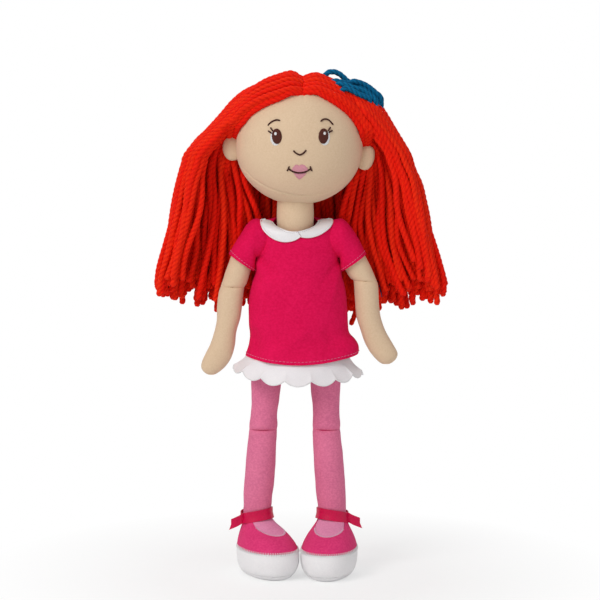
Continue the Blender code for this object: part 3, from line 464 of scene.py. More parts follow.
def make_lamp(name, place, size, power, colour):
    """Soft square lamp."""
    data = bpy.data.lights.new(name, "AREA")
    data.shape = "RECTANGLE"
    data.size = data.size_y = size
    data.energy = power
    data.color = colour
    lamp = linked(name, data)
    lamp.location = place
    lamp.rotation_euler = facing(place, LAMP_AIM)


def joined(tree, operation, first, second):
    """Return two values joined by an operation."""
    node = tree.nodes.new("ShaderNodeMath")
    node.operation = operation
    tree.links.new(first, node.inputs[0])
    tree.links.new(second, node.inputs[1])
    return node.outputs[0]


def seen_white(tree, surface, output, amount=None):
    """Show white to the camera and in reflections in place of a surface's own light, by a share."""
    path = tree.nodes.new("ShaderNodeLightPath")
    seen = path.outputs["Is Camera Ray"]
    for name in ("Is Glossy Ray", "Is Transmission Ray"):
        seen = joined(tree, "MAXIMUM", seen, path.outputs[name])
    if amount:
        seen = joined(tree, "MULTIPLY", seen, amount)
    kind = "ShaderNodeBackground"
    white = tree.nodes.new(kind if surface.bl_idname == kind else "ShaderNodeEmission")
    white.inputs["Strength"].default_value = 1.0
    white.inputs["Color"].default_value = (1.0, 1.0, 1.0, 1.0)
    blend = tree.nodes.new("ShaderNodeMixShader")
    tree.links.new(seen, blend.inputs["Fac"])
    tree.links.new(surface.outputs[0], blend.inputs[1])
    tree.links.new(white.outputs[0], blend.inputs[2])
    tree.links.new(blend.outputs[0], output.inputs["Surface"])


def make_stage():
    """Pale floor that keeps the doll's shadow, white surroundings and soft lamps."""
    mesh = bpy.data.meshes.new("floor")
    corners = [(x * FLOOR_HALF, y * FLOOR_HALF, 0) for x, y in ((-1, -1), (1, -1), (1, 1), (-1, 1))]
    mesh.from_pydata(corners, [], [(0, 1, 2, 3)])
    floor = linked("floor", mesh)
    material, tree, shader = new_material("floor_paper", 0.95)
    shader.inputs["Base Color"].default_value = (0.95, 0.95, 0.95, 1.0)
    place = tree.nodes.new("ShaderNodeTexCoord")
    away = tree.nodes.new("ShaderNodeVectorMath")
    away.operation = "LENGTH"
    tree.links.new(place.outputs["Object"], away.inputs[0])
    far = ramp(tree, away.outputs["Value"], FLOOR_NEAR, FLOOR_FAR, FLOOR_LEAST)
    seen_white(tree, shader, tree.nodes["Material Output"], far)
    mesh.materials.append(material)
    world = bpy.data.worlds.new("studio")
    bpy.context.scene.world = world
    world.use_nodes = True
    background = world.node_tree.nodes["Background"]
    background.inputs["Color"].default_value = (1.0, 1.0, 1.0, 1.0)
    background.inputs["Strength"].default_value = WORLD_STRENGTH
    seen_white(world.node_tree, background, world.node_tree.nodes["World Output"])
    for name, facts in LAMPS.items():
        make_lamp(name, *facts)


# Head and face


def on_head(px, py, gap=0.0):
    """Return the point of the head's front, or nearest to it, that the photograph shows at a pixel."""
    start, direction = pixel_ray(px, py)
    rise = CROWN_RISE
    for _ in range(2):
        sizes = np.array((HEAD_HALF_WIDTH, HEAD_HALF_DEPTH, rise)) + gap
        p, d = (start - HEAD) / sizes, direction / sizes
        b, c = p @ d, p @ p - 1.0
        root = max(b * b - (d @ d) * c, 0.0)
        spot = start + direction * ((-b - math.sqrt(root)) / (d @ d))
        rise = CROWN_RISE if spot[2] > HEAD[2] else CHIN_DROP
    return spot


def at_depth(px, py, y):
    """Return the point that the photograph shows at a pixel, on the upright plane at this depth."""
    start, direction = pixel_ray(px, py)
    return start + direction * ((y - start[1]) / direction[1])


# Seam of the chin's panel and the small dart in the forehead, in the photograph's pixels, and their depths
CHIN_SEAM = (
    (241.0, 165.0), (248.0, 174.0), (261.6, 184.5), (276.8, 191.0), (292.0, 194.7), (302.0, 195.7),
    (314.9, 194.7), (327.6, 191.5), (340.3, 185.8), (350.5, 178.2), (358.0, 170.6),
)
DART = ((304.0, 90.0), (304.0, 94.0), (303.6, 98.0))
SEAM_DEPTH = 0.9
DART_DEPTH = 0.6
NECK_RADIUS = 13.3


def make_head():
    """Stuffed head in tan cloth, and the neck between body and head."""
    rows = []
    for polar in np.linspace(3.0, 177.0, 170)[::-1]:
        angle = math.radians(polar)
        rise = CROWN_RISE if polar < 90 else CHIN_DROP
        size = math.sin(angle)
        centre = HEAD + np.array((0, 0, math.cos(angle) * rise))
        rows.append(oval(centre, HEAD_HALF_WIDTH * size, HEAD_HALF_DEPTH * size, 240))
    rows = np.array(rows)
    push = puckers(rows, 22.0, 6.0) * 0.25
    for pixels, depth in ((CHIN_SEAM, SEAM_DEPTH), (DART, DART_DEPTH)):
        line = even(curve_through([on_head(px, py) for px, py in pixels], 6), 0.8)
        away = np.min(np.linalg.norm(rows[:, :, None] - line[None, None], axis=3), axis=2)
        push -= depth * np.exp(-((away / 0.85) ** 2))
    head = tube("head_skin", pushed(rows, push), SKIN)
    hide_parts("head")
    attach(head, "head")
    rows = []
    for z in np.linspace(TORSO_TOP_Z - 4.0, NOD_Z + 8.0, 26):
        swell = NECK_RADIUS + 0.5 * math.sin((z - TORSO_TOP_Z) / (NOD_Z - TORSO_TOP_Z) * math.pi)
        rows.append(oval((NECK_X, BODY_Y, z), swell, swell, 48))
    neck = tube("neck_skin", rows, SKIN)
    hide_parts("neck")
    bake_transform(neck)


# Pixel of the ear's middle, its half width and half height in millimetres, and its lean in degrees
EARS = {"right": (232.5, 148.5, 7.3, 8.9, -8.0), "left": (365.8, 157.5, 6.4, 9.4, 14.0)}
EAR_HALF_DEPTH = 4.2


def ear_place(side):
    """Return the ear's middle, half width, half height and lean."""
    px, py, half_width, half_height, lean = EARS[side]
    return at_depth(px, py, HEAD[1] + 1.0), half_width, half_height, lean


def make_ear(side):
    """Small flat stuffed ear."""
    middle, half_width, half_height, lean = ear_place(side)
    rows = []
    tilt = math.radians(lean)
    for polar in np.linspace(5.0, 175.0, 24):
        angle = math.radians(polar)
        size = math.sin(angle) ** 0.8
        half_depth = EAR_HALF_DEPTH * math.sin(angle) ** 0.6
        ring = oval((0, 0, math.cos(angle) * half_height), half_width * size, half_depth, 40, 2.1)
        x, z = ring[:, 0].copy(), ring[:, 2].copy()
        ring[:, 0] = x * math.cos(tilt) + z * math.sin(tilt)
        ring[:, 2] = z * math.cos(tilt) - x * math.sin(tilt)
        rows.append(ring + middle)
    ear = tube("ear_skin_" + side, rows[::-1], SKIN)
    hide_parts("ear_" + side)
    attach(ear, "head")


# Limbs


def pinch(full, distance, reach, least=0.5):
    """Return the half depth of stuffing at a distance from a sewn crease."""
    share = np.clip(distance / reach, 0.0, 1.0)
    return least + (full - least) * math.sqrt(1.0 - (1.0 - share) ** 2)


def crease_stitches(name, centre, half_width, half_depth, material, slope=0.0, radius=0.26):
    """Short stitches sunk in the crease, in front and behind."""
    lines = []
    for front in (-1.0, 1.0):
        line = []
        for share in np.linspace(-1.0, 1.0, 9):
            lift = math.sqrt(1.0 - (share * 0.72) ** 2)
            out = (share * half_width, front * (half_depth * lift + radius - 0.2), share * slope)
            line.append(np.asarray(centre) + np.array(out))
        lines += seam(line, 2.1, 0.5)
    return stitches(name, lines, radius, material)


KNEE_DEPTH = 7.2
ELBOW_DEPTH = 7.0

# Height and half width of the leg
LEG_HALF_WIDTHS = (
    (38.0, 10.4), (50.0, 10.7), (65.0, 11.2), (82.0, 11.3), (97.0, 10.9), (108.0, 10.7), (111.0, 10.4),
    (114.0, 10.5), (122.0, 9.9), (136.0, 10.6), (152.0, 11.5), (172.0, 11.6),
)
# Heights of the leg's rings: lowest, highest and count of each run
LEG_RINGS = ((38.0, 104.0, 40), (105.0, 117.0, 25), (119.0, 171.6, 32))


def make_leg(side):
    """One stuffed leg in tights, sewn flat at the knee."""
    rows = []
    for z in np.concatenate([np.linspace(*run) for run in LEG_RINGS]):
        half_width = float(table(LEG_HALF_WIDTHS, z)[0])
        down = (z - KNEE_Z) / (HIP_Z - KNEE_Z) if z > KNEE_Z else (KNEE_Z - z) / (KNEE_Z - ANKLE_Z)
        far_x, far_y = (HIP_X[side], BODY_Y) if z > KNEE_Z else (ANKLE_X[side], ANKLE_Y)
        x = KNEE_X[side] + (far_x - KNEE_X[side]) * down
        y = KNEE_Y + (far_y - KNEE_Y) * down
        at_knee = pinch(half_width + 0.2, abs(z - KNEE_Z), 5.0, KNEE_DEPTH)
        rows.append(oval((x, y, z), half_width, min(at_knee, pinch(half_width, HIP_Z - z, 16.0)), 48))
    rows = np.array(rows)
    rows = pushed(rows, (puckers(rows, 16.0, 3.0) + 0.5 * puckers(rows, 7.0, 8.0)) * 0.45)
    leg = tube("leg_tights_" + side, rows, TIGHTS)
    knee = (KNEE_X[side], KNEE_Y, KNEE_Z)
    crease = crease_stitches("knee_thread_" + side, knee, 5.6, KNEE_DEPTH, TIGHTS_THREAD, 0.4, 0.55)
    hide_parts("knee_stitch_" + side)
    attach(crease, "thigh_" + side)
    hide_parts("thigh_" + side, "shin_" + side)
    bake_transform(leg)


def tilted(centre, half_width, half_depth, degrees, sign, count=48):
    """Return a ring that stands across X at 0 degrees and lies level at 90 degrees."""
    angle = ring_angles(count)
    tilt = math.radians(degrees)
    wide = np.array((sign * math.sin(tilt), 0.0, math.cos(tilt)))
    deep = np.array((0.0, sign, 0.0))
    return (np.asarray(centre, float) + np.outer(np.cos(angle) * half_width, wide)
            + np.outer(np.sin(angle) * half_depth, deep))


ELBOW_Z = {"left": 223.5, "right": 219.0}
# Distance of the crease out from the armhole, and its slope
ELBOW_CREASE = {"left": (18.0, 0.6), "right": (17.0, 0.8)}
# How far the forearm comes forward for each millimetre below the elbow
FOREARM_LEAN = 0.045

# Distance out from the armhole, height above the elbow, half width, half depth and tilt of the arm's rings
ARMS = {
    "left": (
        (1.5, 31.0, 11.6, 11.0, 4.0), (5.0, 26.0, 10.6, 10.4, 20.0), (9.4, 16.0, 9.2, 9.0, 50.0),
        (13.2, 8.5, 9.0, 8.6, 66.0), (16.4, 2.6, 8.9, 8.4, 82.0), (18.0, 0.0, 8.7, 8.4, 90.0),
        (18.7, -3.0, 8.9, 8.5, 90.0), (19.3, -10.0, 9.0, 8.6, 90.0), (20.0, -20.0, 8.8, 8.4, 90.0),
        (21.3, -28.5, 9.0, 8.0, 90.0), (24.3, -37.5, 9.2, 7.6, 90.0), (28.4, -46.5, 10.2, 7.2, 90.0),
        (31.6, -52.5, 10.4, 6.9, 90.0), (33.1, -55.5, 9.6, 6.5, 90.0), (33.9, -58.5, 7.7, 5.4, 90.0),
        (34.0, -60.9, 5.2, 3.9, 90.0), (33.9, -62.3, 2.8, 2.2, 90.0),
    ),
    "right": (
        (1.5, 36.0, 11.6, 11.0, 4.0), (5.0, 31.0, 10.6, 10.4, 20.0), (9.4, 21.0, 9.0, 9.0, 50.0),
        (13.0, 10.5, 8.9, 8.6, 64.0), (15.6, 3.4, 9.0, 8.4, 80.0), (17.0, 0.0, 8.9, 8.4, 88.0),
        (17.8, -3.0, 9.2, 8.5, 90.0), (18.8, -10.0, 9.3, 8.6, 90.0), (19.6, -18.0, 9.2, 8.4, 90.0),
        (20.3, -25.0, 8.7, 8.0, 90.0), (22.4, -34.0, 8.3, 7.6, 90.0), (24.4, -42.5, 9.2, 7.3, 90.0),
        (27.4, -50.5, 10.2, 7.0, 90.0), (29.6, -55.5, 10.2, 6.8, 90.0), (31.6, -60.0, 9.0, 6.2, 90.0),
        (32.7, -63.0, 6.7, 4.8, 90.0), (33.1, -65.0, 4.0, 3.0, 90.0), (33.2, -65.8, 2.2, 1.8, 90.0),
    ),
}


def make_arm(side):
    """Upper arm, forearm and mitten hand in one stuffed cloth piece, sewn flat at the elbow."""
    sign, elbow = SIDES[side], ELBOW_Z[side]
    rows = []
    for out, up, half_width, half_depth, tilt in curve_through(ARMS[side], 7):
        depth = pinch(half_depth, abs(up), 4.5, ELBOW_DEPTH)
        centre = (sign * (ARMHOLE_X + out), BODY_Y - max(-up, 0.0) * FOREARM_LEAN, elbow + up)
        rows.append(tilted(centre, half_width, depth, tilt, sign))
    rows = np.array(rows)
    arm = tube("arm_skin_" + side, pushed(rows, puckers(rows, 13.0, 5.0) * 0.35), SKIN)
    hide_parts("upper_arm_" + side, "forearm_" + side)
    out, slope = ELBOW_CREASE[side]
    place = (sign * (ARMHOLE_X + out), BODY_Y, elbow)
    # Painted shade: the elbow's stitches are dark brown to draw the crease's shade line
    crease = crease_stitches("elbow_thread_" + side, place, 5.0, ELBOW_DEPTH, SHADED_CREASE_THREAD, slope)
    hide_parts("elbow_stitch_" + side)
    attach(crease, "upper_arm_" + side)
    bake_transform(arm)


# Small stitches


def capsule(line, radius, columns=6):
    """Return the points and faces of one stitch along a line."""
    line = np.asarray(line, float)
    along = unit(np.gradient(line, axis=0))
    centres = np.vstack((line[0] - along[0] * radius * 0.6, line, line[-1] + along[-1] * radius * 0.6))
    along = np.vstack((along[0], along, along[-1]))
    side = unit(np.cross(along, (0.3, 0.2, 1.0)))
    sizes = np.full((len(centres), 1, 1), radius)
    sizes[0] = sizes[-1] = radius * 0.5
    points = rings_across(centres, side, np.cross(along, side), sizes, columns).reshape(-1, 3)
    ends = [tuple(reversed(range(columns))), tuple(range(len(points) - columns, len(points)))]
    return points, [tuple(face) for face in quads(len(centres), columns, True)] + ends


def stitches(name, lines, radius, material):
    """Link many stitches, each along a line of points, as one piece."""
    points, faces, count = [], [], 0
    for line in lines:
        spots, sides = capsule(line, radius)
        points.append(spots)
        faces += shifted(sides, count)
        count += len(spots)
    return add_mesh(name, np.concatenate(points), faces, material)


def seam(line, length, gap):
    """Return stitches of this length along a line, with gaps between them."""
    spots = even(line, length + gap)
    return [(a, a + (b - a) * (length / (length + gap))) for a, b in zip(spots, spots[1:])]


def tube_along(name, line, radius, material, columns=8):
    """Link a thin tube along a line."""
    line = even(line, 0.8)
    along = unit(np.gradient(line, axis=0))
    side = unit(np.cross(along, (0.0, 0.0, 1.0)) + 1e-6)
    return tube(name, rings_across(line, side, np.cross(along, side), radius, columns), material)


# Clothes

TUNIC_HALF_WIDTH = 37.0
# Opening between two panels at a side or at the back
PANEL_GAP = 0.3

# Height, half width and half depth of the tunic
TUNIC_ROWS = (
    (163.0, 41.0, 27.6), (167.5, 40.2, 27.2), (172.5, 38.6, 26.4), (180.0, 36.6, 25.2), (193.0, 37.0, 25.2),
    (210.0, 36.6, 24.4), (221.5, 34.4, 22.9), (230.0, 31.6, 21.4), (240.0, 31.3, 20.1), (252.0, 31.3, 18.5),
)
TUNIC_HEM_Z = TUNIC_ROWS[0][0]
TUNIC_TOP_Z = TUNIC_ROWS[-1][0]
WAIST_Z = 225.0
# How much higher the hem is at the sides than in front
HEM_RISE = 5.0
# Height below which the skirt's wrinkles grow, and that above which the neck is smooth
SKIRT_TOP_Z = 200.0
SMOOTH_Z = 255.0
# Half width and half depth in front and behind of the shoulder line, its height, and its drop in front
YOKE = (29.6, 17.3, 17.5)
YOKE_Z = 266.9
YOKE_DROP = 10.3
# Radius of the neckline, its height in front, and its rise to the back
NECKLINE = (16.7, 261.1, 11.5)
# How far the skirt bulges at each side, at what height and over what reach
SIDE_BULGE = {"left": 5.4, "right": -2.0}
BULGE_Z = 174.0
BULGE_REACH = 10.0


def tunic_point(row, angle):
    """Return a point of a level row of the tunic; angle 0 is in front, turning to the doll's left."""
    z, width, depth = row
    return np.array((math.sin(angle) * width, BODY_Y - math.cos(angle) * depth, z))


def yoke_point(angle):
    """Return a point of the tunic's shoulder line, which is low in front."""
    front = max(math.cos(angle), 0.0)
    depth = YOKE[1] if front > 0.0 else YOKE[2]
    return tunic_point((YOKE_Z - YOKE_DROP * front * front, YOKE[0], depth), angle)


def neckline_point(angle):
    """Return a point of the neckline, which rises to the back of the neck."""
    radius, low, rise = NECKLINE
    height = low + rise * (1.0 - math.cos(angle)) / 2.0
    return np.array((NECK_X + math.sin(angle) * radius, BODY_Y - math.cos(angle) * radius, height))


def tunic_grid(angles, steps=7):
    """Return the tunic's outer surface, hem to neckline, along these angles."""
    columns = []
    for angle in angles:
        line = [tunic_point(row, angle) for row in TUNIC_ROWS] + [yoke_point(angle), neckline_point(angle)]
        for point in line[:4]:
            point[2] += HEM_RISE * math.sin(angle) ** 2 * (WAIST_Z - point[2]) / (WAIST_Z - TUNIC_HEM_Z)
        columns.append(curve_through(line, steps))
    return np.array(columns).transpose(1, 0, 2)


def fold(point, start, end, width, height):
    """Return the height of a soft fold along a line seen from the front, at a point."""
    a, b = np.asarray(start, float), np.asarray(end, float)
    p = np.array((point[0], point[2]))
    t = float(np.clip((p - a) @ (b - a) / ((b - a) @ (b - a)), 0.0, 1.0))
    off = np.linalg.norm(p - a - (b - a) * t) / width
    return height * math.exp(-off * off) * (1.0 - t * 0.6)


# Folds of the tunic's front: start and end as x and z, width and height
FOLDS = (
    ((-30.0, 243.0), (-14.0, 226.0), 2.0, -0.9),
    ((-29.0, 236.0), (-18.0, 214.0), 2.4, 0.8),
    ((31.0, 240.0), (17.0, 222.0), 2.2, -0.8),
    ((31.0, 233.0), (24.0, 208.0), 2.6, 0.7),
    ((-24.0, 262.0), (-27.0, 242.0), 1.8, -0.6),
    ((26.0, 262.0), (29.0, 244.0), 1.8, -0.5),
    ((4.0, 186.0), (-20.0, 168.0), 4.5, 0.9),
    ((22.0, 186.0), (34.0, 170.0), 4.0, -0.8),
    ((-33.0, 186.0), (-30.0, 166.0), 3.5, -0.8),
)
FOLD_HEIGHT = 1.7


def fall(x, y, z):
    """Return how far a place of the tunic is moved outwards by wrinkles, folds and the skirt's bulge."""
    low = np.clip((SKIRT_TOP_Z - z) / (SKIRT_TOP_Z - TUNIC_HEM_Z), 0.0, 1.0)
    push = 0.45 * wrinkle((x, y, z), 14.0, 1.0) + 0.9 * low * wrinkle((x, y, z * 0.3), 11.0, 2.0)
    side_way = max(abs(x) / TUNIC_HALF_WIDTH - 0.6, 0.0) / 0.4
    bulge = SIDE_BULGE["left" if x > 0.0 else "right"]
    push += bulge * min(side_way, 1.0) * math.exp(-((z - BULGE_Z) / BULGE_REACH) ** 2)
    if y < BODY_Y:
        push += FOLD_HEIGHT * sum(fold((x, y, z), *facts) for facts in FOLDS)
    return push * (1.0 - np.clip((z - SMOOTH_Z) / 8.0, 0.0, 1.0))


def skirted(piece):
    """Give a piece of the skirt its own copy of its mesh."""
    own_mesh(piece)


def make_tunic():
    """Jersey tunic: a front and two back panels, with stitched hem."""
    gap, half_turn = PANEL_GAP / TUNIC_HALF_WIDTH, math.pi
    panels = (
        ("back_left", half_turn / 2.0 + gap, half_turn - gap, "dress_back_left"),
        ("front_left", 0.0, half_turn / 2.0 - gap, "dress_front"),
        ("front_right", -half_turn / 2.0 + gap, 0.0, "dress_front"),
        ("back_right", -half_turn + gap, -half_turn / 2.0 - gap, "dress_back_right"),
    )
    for name, start, end, node in panels:
        rows = tunic_grid(np.linspace(start, end, 44))
        rows = pushed(rows, np.array([[fall(*point) for point in row] for row in rows]), False)
        waist = int(np.argmin(np.abs(rows[:, 0, 2] - WAIST_Z)))
        rows[waist, :, 2] = WAIST_Z
        bodice = cloth_mesh("bodice_" + name, rows[waist:], 1.0, PINK)
        skirt = cloth_mesh("skirt_" + name, rows[: waist + 1], 1.0, PINK)
        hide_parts(node)
        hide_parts(node)
        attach(bodice, "torso")
        hem = rows[4] + surface_normals(rows, False)[4] * 0.2
        line = stitches("hem_stitches_" + name, seam(hem, 1.5, 1.3), 0.25, HEM_THREAD)
        for piece in (skirt, line):
            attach(piece, "torso")
            skirted(piece)


# Lower and upper end of the tape, and half the turn that it covers
TAPE_Z = (216.0, 258.0)
TAPE_HALF_TURN = 0.16


def make_tape():
    """Cloth tape behind the opening of the back."""
    grid = tunic_grid(np.linspace(math.pi - TAPE_HALF_TURN, math.pi + TAPE_HALF_TURN, 9))
    rows = np.array([row for row in grid if TAPE_Z[0] < row[0][2] < TAPE_Z[1]])
    rows = rows - surface_normals(rows, False) * 1.35
    tape = cloth_mesh("closure_tape", rows, 0.6, WHITE)
    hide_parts("back_closure_tape")
    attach(tape, "torso")


# Turn from the front in degrees, and the width of the collar there
COLLAR_WIDTHS = (
    (0.0, 4.6), (4.0, 6.0), (12.0, 7.8), (24.0, 9.6), (40.0, 11.4), (56.0, 12.0), (72.0, 11.4), (86.0, 10.6),
    (96.0, 10.0),
)
COLLAR_END = 94.0
COLLAR_ROUNDING = 7.0
# How far to the doll's left of the middle its halves meet, in degrees
COLLAR_MEETING = 5.0
COLLAR_SHARE = {"left": 1.0, "right": 0.88}
COLLAR_ROWS = 18
COLLAR_STEP = 0.25


def make_collar(side):
    """One rounded half of the satin collar, with a turned edge and a line of stitches at the neck."""
    sign = SIDES[side]
    turns = COLLAR_END * np.sin(np.linspace(0.003, np.pi / 2.0, 56))
    if sign < 0:
        turns = turns[::-1]
    columns = tunic_grid(np.radians(turns * sign + COLLAR_MEETING), 14)[::-1].transpose(1, 0, 2)
    rows = np.zeros((COLLAR_ROWS, len(turns), 3))
    for place, (turn, column) in enumerate(zip(turns, columns)):
        line = even(column, COLLAR_STEP)
        width = float(table(COLLAR_WIDTHS, turn)[0]) * COLLAR_SHARE[side]
        late = max(turn - COLLAR_END + COLLAR_ROUNDING, 0.0) / COLLAR_ROUNDING
        round_off = math.sqrt(max(1.0 - late * late, 0.0))
        for row, share in zip(rows, np.linspace(1.0, 0.0, COLLAR_ROWS)):
            at = width * (0.5 + (share - 0.5) * (0.55 + 0.45 * round_off))
            row[place] = line[min(int(round(at / COLLAR_STEP)), len(line) - 1)]
    for _ in range(3):
        rows[:, 1:-1] = (rows[:, :-2] + rows[:, 1:-1] * 2.0 + rows[:, 2:]) / 4.0
        rows[1:-1] = (rows[:-2] + rows[1:-1] * 2.0 + rows[2:]) / 4.0
    normal = surface_normals(rows, False)
    rows = rows + normal * (1.25 + 0.3 * np.sin(np.linspace(0.0, np.pi, COLLAR_ROWS))[:, None, None])
    collar = cloth_mesh("collar_satin_" + side, rows, 0.9, SATIN)
    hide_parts("collar_" + side)
    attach(collar, "torso")
    piping = tube_along("collar_edge_" + side, rows[0] - normal[0] * 0.2, 0.8, SATIN)
    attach(piping, "torso")
    inner = rows[-4] + normal[-4] * 0.12
    line = stitches("collar_stitches_" + side, seam(inner, 0.8, 0.7), 0.14, COLLAR_THREAD)
    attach(line, "torso")


# Height of the petticoat's hem and of its gathered part, half width and half depth of the waistband, and how
# much wider and deeper the hem is
PETTICOAT_Z = 148.2
PETTICOAT_HEIGHT = 29.0
PETTICOAT_BAND = (34.2, 22.6)
PETTICOAT_FLARE = (13.3, 8.9)
SCALLOPS = 15.0
SCALLOP_RISE = 4.3
# How much higher the hem is at each side than in front
PETTICOAT_RISE = {"left": 4.5, "right": 9.0}


def petticoat_rows(start, end, count):
    """Return the petticoat's outer surface from hem to waistband between two angles."""
    rows = []
    for share in np.linspace(0.0, 1.0, 26):
        row = []
        for angle in np.linspace(start, end, count):
            lobe = abs(math.cos(angle * SCALLOPS / 2.0))
            flare = (1.0 - share) ** 1.6
            half_width, half_depth = (a + b * flare for a, b in zip(PETTICOAT_BAND, PETTICOAT_FLARE))
            wave = flare * (0.9 * lobe + 0.8 * math.sin(angle * 4.0 + 0.8))
            side, front = math.sin(angle), math.cos(angle)
            z = PETTICOAT_Z + PETTICOAT_HEIGHT * share
            z += SCALLOP_RISE * (1.0 - lobe ** 0.75) * max(1.0 - share * 2.2, 0.0)
            z += PETTICOAT_RISE["left" if side > 0.0 else "right"] * abs(side) ** 3 * (1.0 - share)
            row.append((side * (half_width + wave), BODY_Y - front * (half_depth + wave), z))
        rows.append(row)
    return np.array(rows)


def make_petticoat(side):
    """Half of the scalloped white petticoat."""
    start, end = (0.0, math.pi) if side == "left" else (-math.pi, 0.0)
    rows = petticoat_rows(start, end, 220)
    piece = cloth_mesh("petticoat_white_" + side, rows, 0.8, PETTICOAT)
    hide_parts("petticoat")
    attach(piece, "torso")
    edge = rows[0] - surface_normals(rows, False)[0] * 0.4
    binding = tube_along("petticoat_edge_" + side, edge, 0.55, WHITE_THREAD)
    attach(binding, "torso")
    for part in (piece, binding):
        skirted(part)


# Distance out from the armhole, drop below its middle, radius and tilt of the sleeve's rings
SLEEVE = (
    (-8.5, -0.6, 11.2, 0.0), (-4.5, -0.4, 12.8, 0.0), (0.2, 0.2, 13.8, 2.0), (2.8, 3.2, 13.4, 11.0),
    (5.2, 8.4, 12.1, 24.0), (8.0, 14.2, 10.9, 45.0), (9.9, 18.0, 10.6, 54.0),
)


def make_sleeve(side):
    """Short sleeve with a stitched hem, between the body and the arm."""
    sign = SIDES[side]
    rows = []
    for out, drop, radius, tilt in curve_through(SLEEVE, 9):
        centre = (sign * (ARMHOLE_X + out), BODY_Y, SHOULDER_Z - drop)
        rows.append(tilted(centre, radius, radius * 0.96, tilt, sign, 72))
    rows = np.array(rows)
    rows = pushed(rows, puckers(rows, 9.0, 4.0) * np.linspace(0.2, 0.7, len(rows))[:, None])
    sleeve = cloth_mesh("sleeve_jersey_" + side, rows, 1.0, PINK, True)
    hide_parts("sleeve_" + side)
    hem = rows[-6] - surface_normals(rows, True)[-6] * 1.15
    lines = seam(np.vstack((hem, hem[:1])), 1.3, 1.1)
    line = stitches("sleeve_stitches_" + side, lines, 0.24, HEM_THREAD)
    for piece in (sleeve, line):
        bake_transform(piece)


# Shoes

TOE_IN = {"left": 10.0, "right": 26.0}
INBOARD = {"left": 0.2, "right": 2.5}
FOOT_POWER = 2.2

# Height, half width, reach of the toe and reach of the heel from the ankle's axis
SOLE_BOTTOM = (
    (0.0, 13.0, 36.0, 14.1), (1.2, 15.5, 38.7, 14.6), (2.6, 17.0, 40.2, 14.9), (3.9, 18.0, 41.2, 15.1),
)
SOLE_WALL = (
    (4.2, 18.3, 41.6, 15.2), (7.1, 19.7, 43.4, 15.6), (11.2, 20.7, 44.6, 15.9), (15.8, 21.0, 45.0, 16.0),
    (19.8, 20.8, 44.4, 15.8), (20.9, 20.3, 43.6, 15.5),
)
UPPER = (
    (21.1, 20.3, 43.2, 15.4), (22.0, 20.4, 43.0, 15.4), (25.6, 19.5, 40.5, 14.7), (30.6, 17.1, 34.2, 13.3),
    (35.2, 14.1, 25.2, 11.9), (38.9, 11.8, 16.9, 11.1), (41.7, 10.9, 12.6, 10.8), (44.0, 10.7, 10.8, 10.6),
)
# Lower and upper ends of the stitches between sole and upper
SOLE_SEAM = ((20.0, 21.0, 44.6, 16.0), (22.3, 20.5, 43.0, 15.5))


def placed(points, side):
    """Return points of a foot that points to -Y, set at the foot's place and turn."""
    points = np.asarray(points, float)
    turn = -SIDES[side] * math.radians(TOE_IN[side])
    x = points[..., 0] * math.cos(turn) - points[..., 1] * math.sin(turn) + ANKLE_X[side]
    y = points[..., 0] * math.sin(turn) + points[..., 1] * math.cos(turn) + ANKLE_Y
    return np.stack((x, y, points[..., 2]), axis=-1)


def foot_rows(side, rows, steps, leans=False, grow=0.0, count=96):
    """Return smooth rings of a layer of the foot."""
    made = []
    low, high = rows[0][0], rows[-1][0]
    for z, width, toe, heel in curve_through(rows, steps):
        inboard = INBOARD[side] * ((high - z) / (high - low) if leans else 1.0)
        centre = (-SIDES[side] * inboard, (heel - toe) / 2.0, z)
        made.append(placed(oval(centre, width + grow, (toe + heel) / 2.0 + grow, count, FOOT_POWER), side))
    return np.array(made)


def boolean(piece, cutter, operation):
    """Cut a piece once with another, which is then deleted."""
    modifier = piece.modifiers.new("cut", "BOOLEAN")
    modifier.operation = operation
    modifier.solver = "EXACT"
    modifier.object = cutter
    graph = bpy.context.evaluated_depsgraph_get()
    mesh = bpy.data.meshes.new_from_object(piece.evaluated_get(graph))
    piece.modifiers.clear()
    piece.data = mesh
    bpy.data.objects.remove(cutter, do_unlink=True)
    mesh.set_sharp_from_angle(angle=SHARP_ANGLE)


# Middle, across the foot, and half width of the opening over the instep
INSTEP_OVAL = {"left": (0.0, 11.0), "right": (3.2, 11.4)}
INSTEP_MIDDLE_Y = -14.0
INSTEP_HALF_LENGTH = 16.6


def instep_column(side, gap):
    """Return the upright oval column that parts the instep from the shoe's upper."""
    middle, half_width = INSTEP_OVAL[side]
    rows = []
    for z in (4.0, 70.0):
        ring = oval((middle, INSTEP_MIDDLE_Y, z), half_width + gap, INSTEP_HALF_LENGTH + gap, 96)
        rows.append(placed(ring, side))
    return tube("column", rows, WHITE)


def make_foot(side):
    """Soft shoe: bottom panel, side wall, upper with its rounded opening, and the instep in it."""
    body = "shin_" + side
    layers = (("sole_panel_", SOLE_BOTTOM, "sole_bottom_"), ("sole_side_", SOLE_WALL, "sole_wall_"))
    for name, shape, node in layers:
        rows = foot_rows(side, shape, 6)
        push = puckers(rows, 8.0, 6.0) * (np.clip(rows[:, :, 2] - 1.0, 0.0, 1.0) * 0.25)
        piece = tube(name + side, pushed(rows, push), WHITE)
        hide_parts(node + side)
        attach(piece, body)
    upper = tube("shoe_jersey_" + side, foot_rows(side, UPPER, 6, True), SHOE)
    boolean(upper, instep_column(side, 0.15), "DIFFERENCE")
    instep = tube("instep_jersey_" + side, foot_rows(side, UPPER, 6, True, -0.25), INSTEP)
    boolean(instep, instep_column(side, -0.15), "INTERSECT")
    for piece, node in ((upper, "shoe_upper_"), (instep, "instep_")):
        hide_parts(node + side)
        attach(piece, body)
    make_shoe_stitches(side)


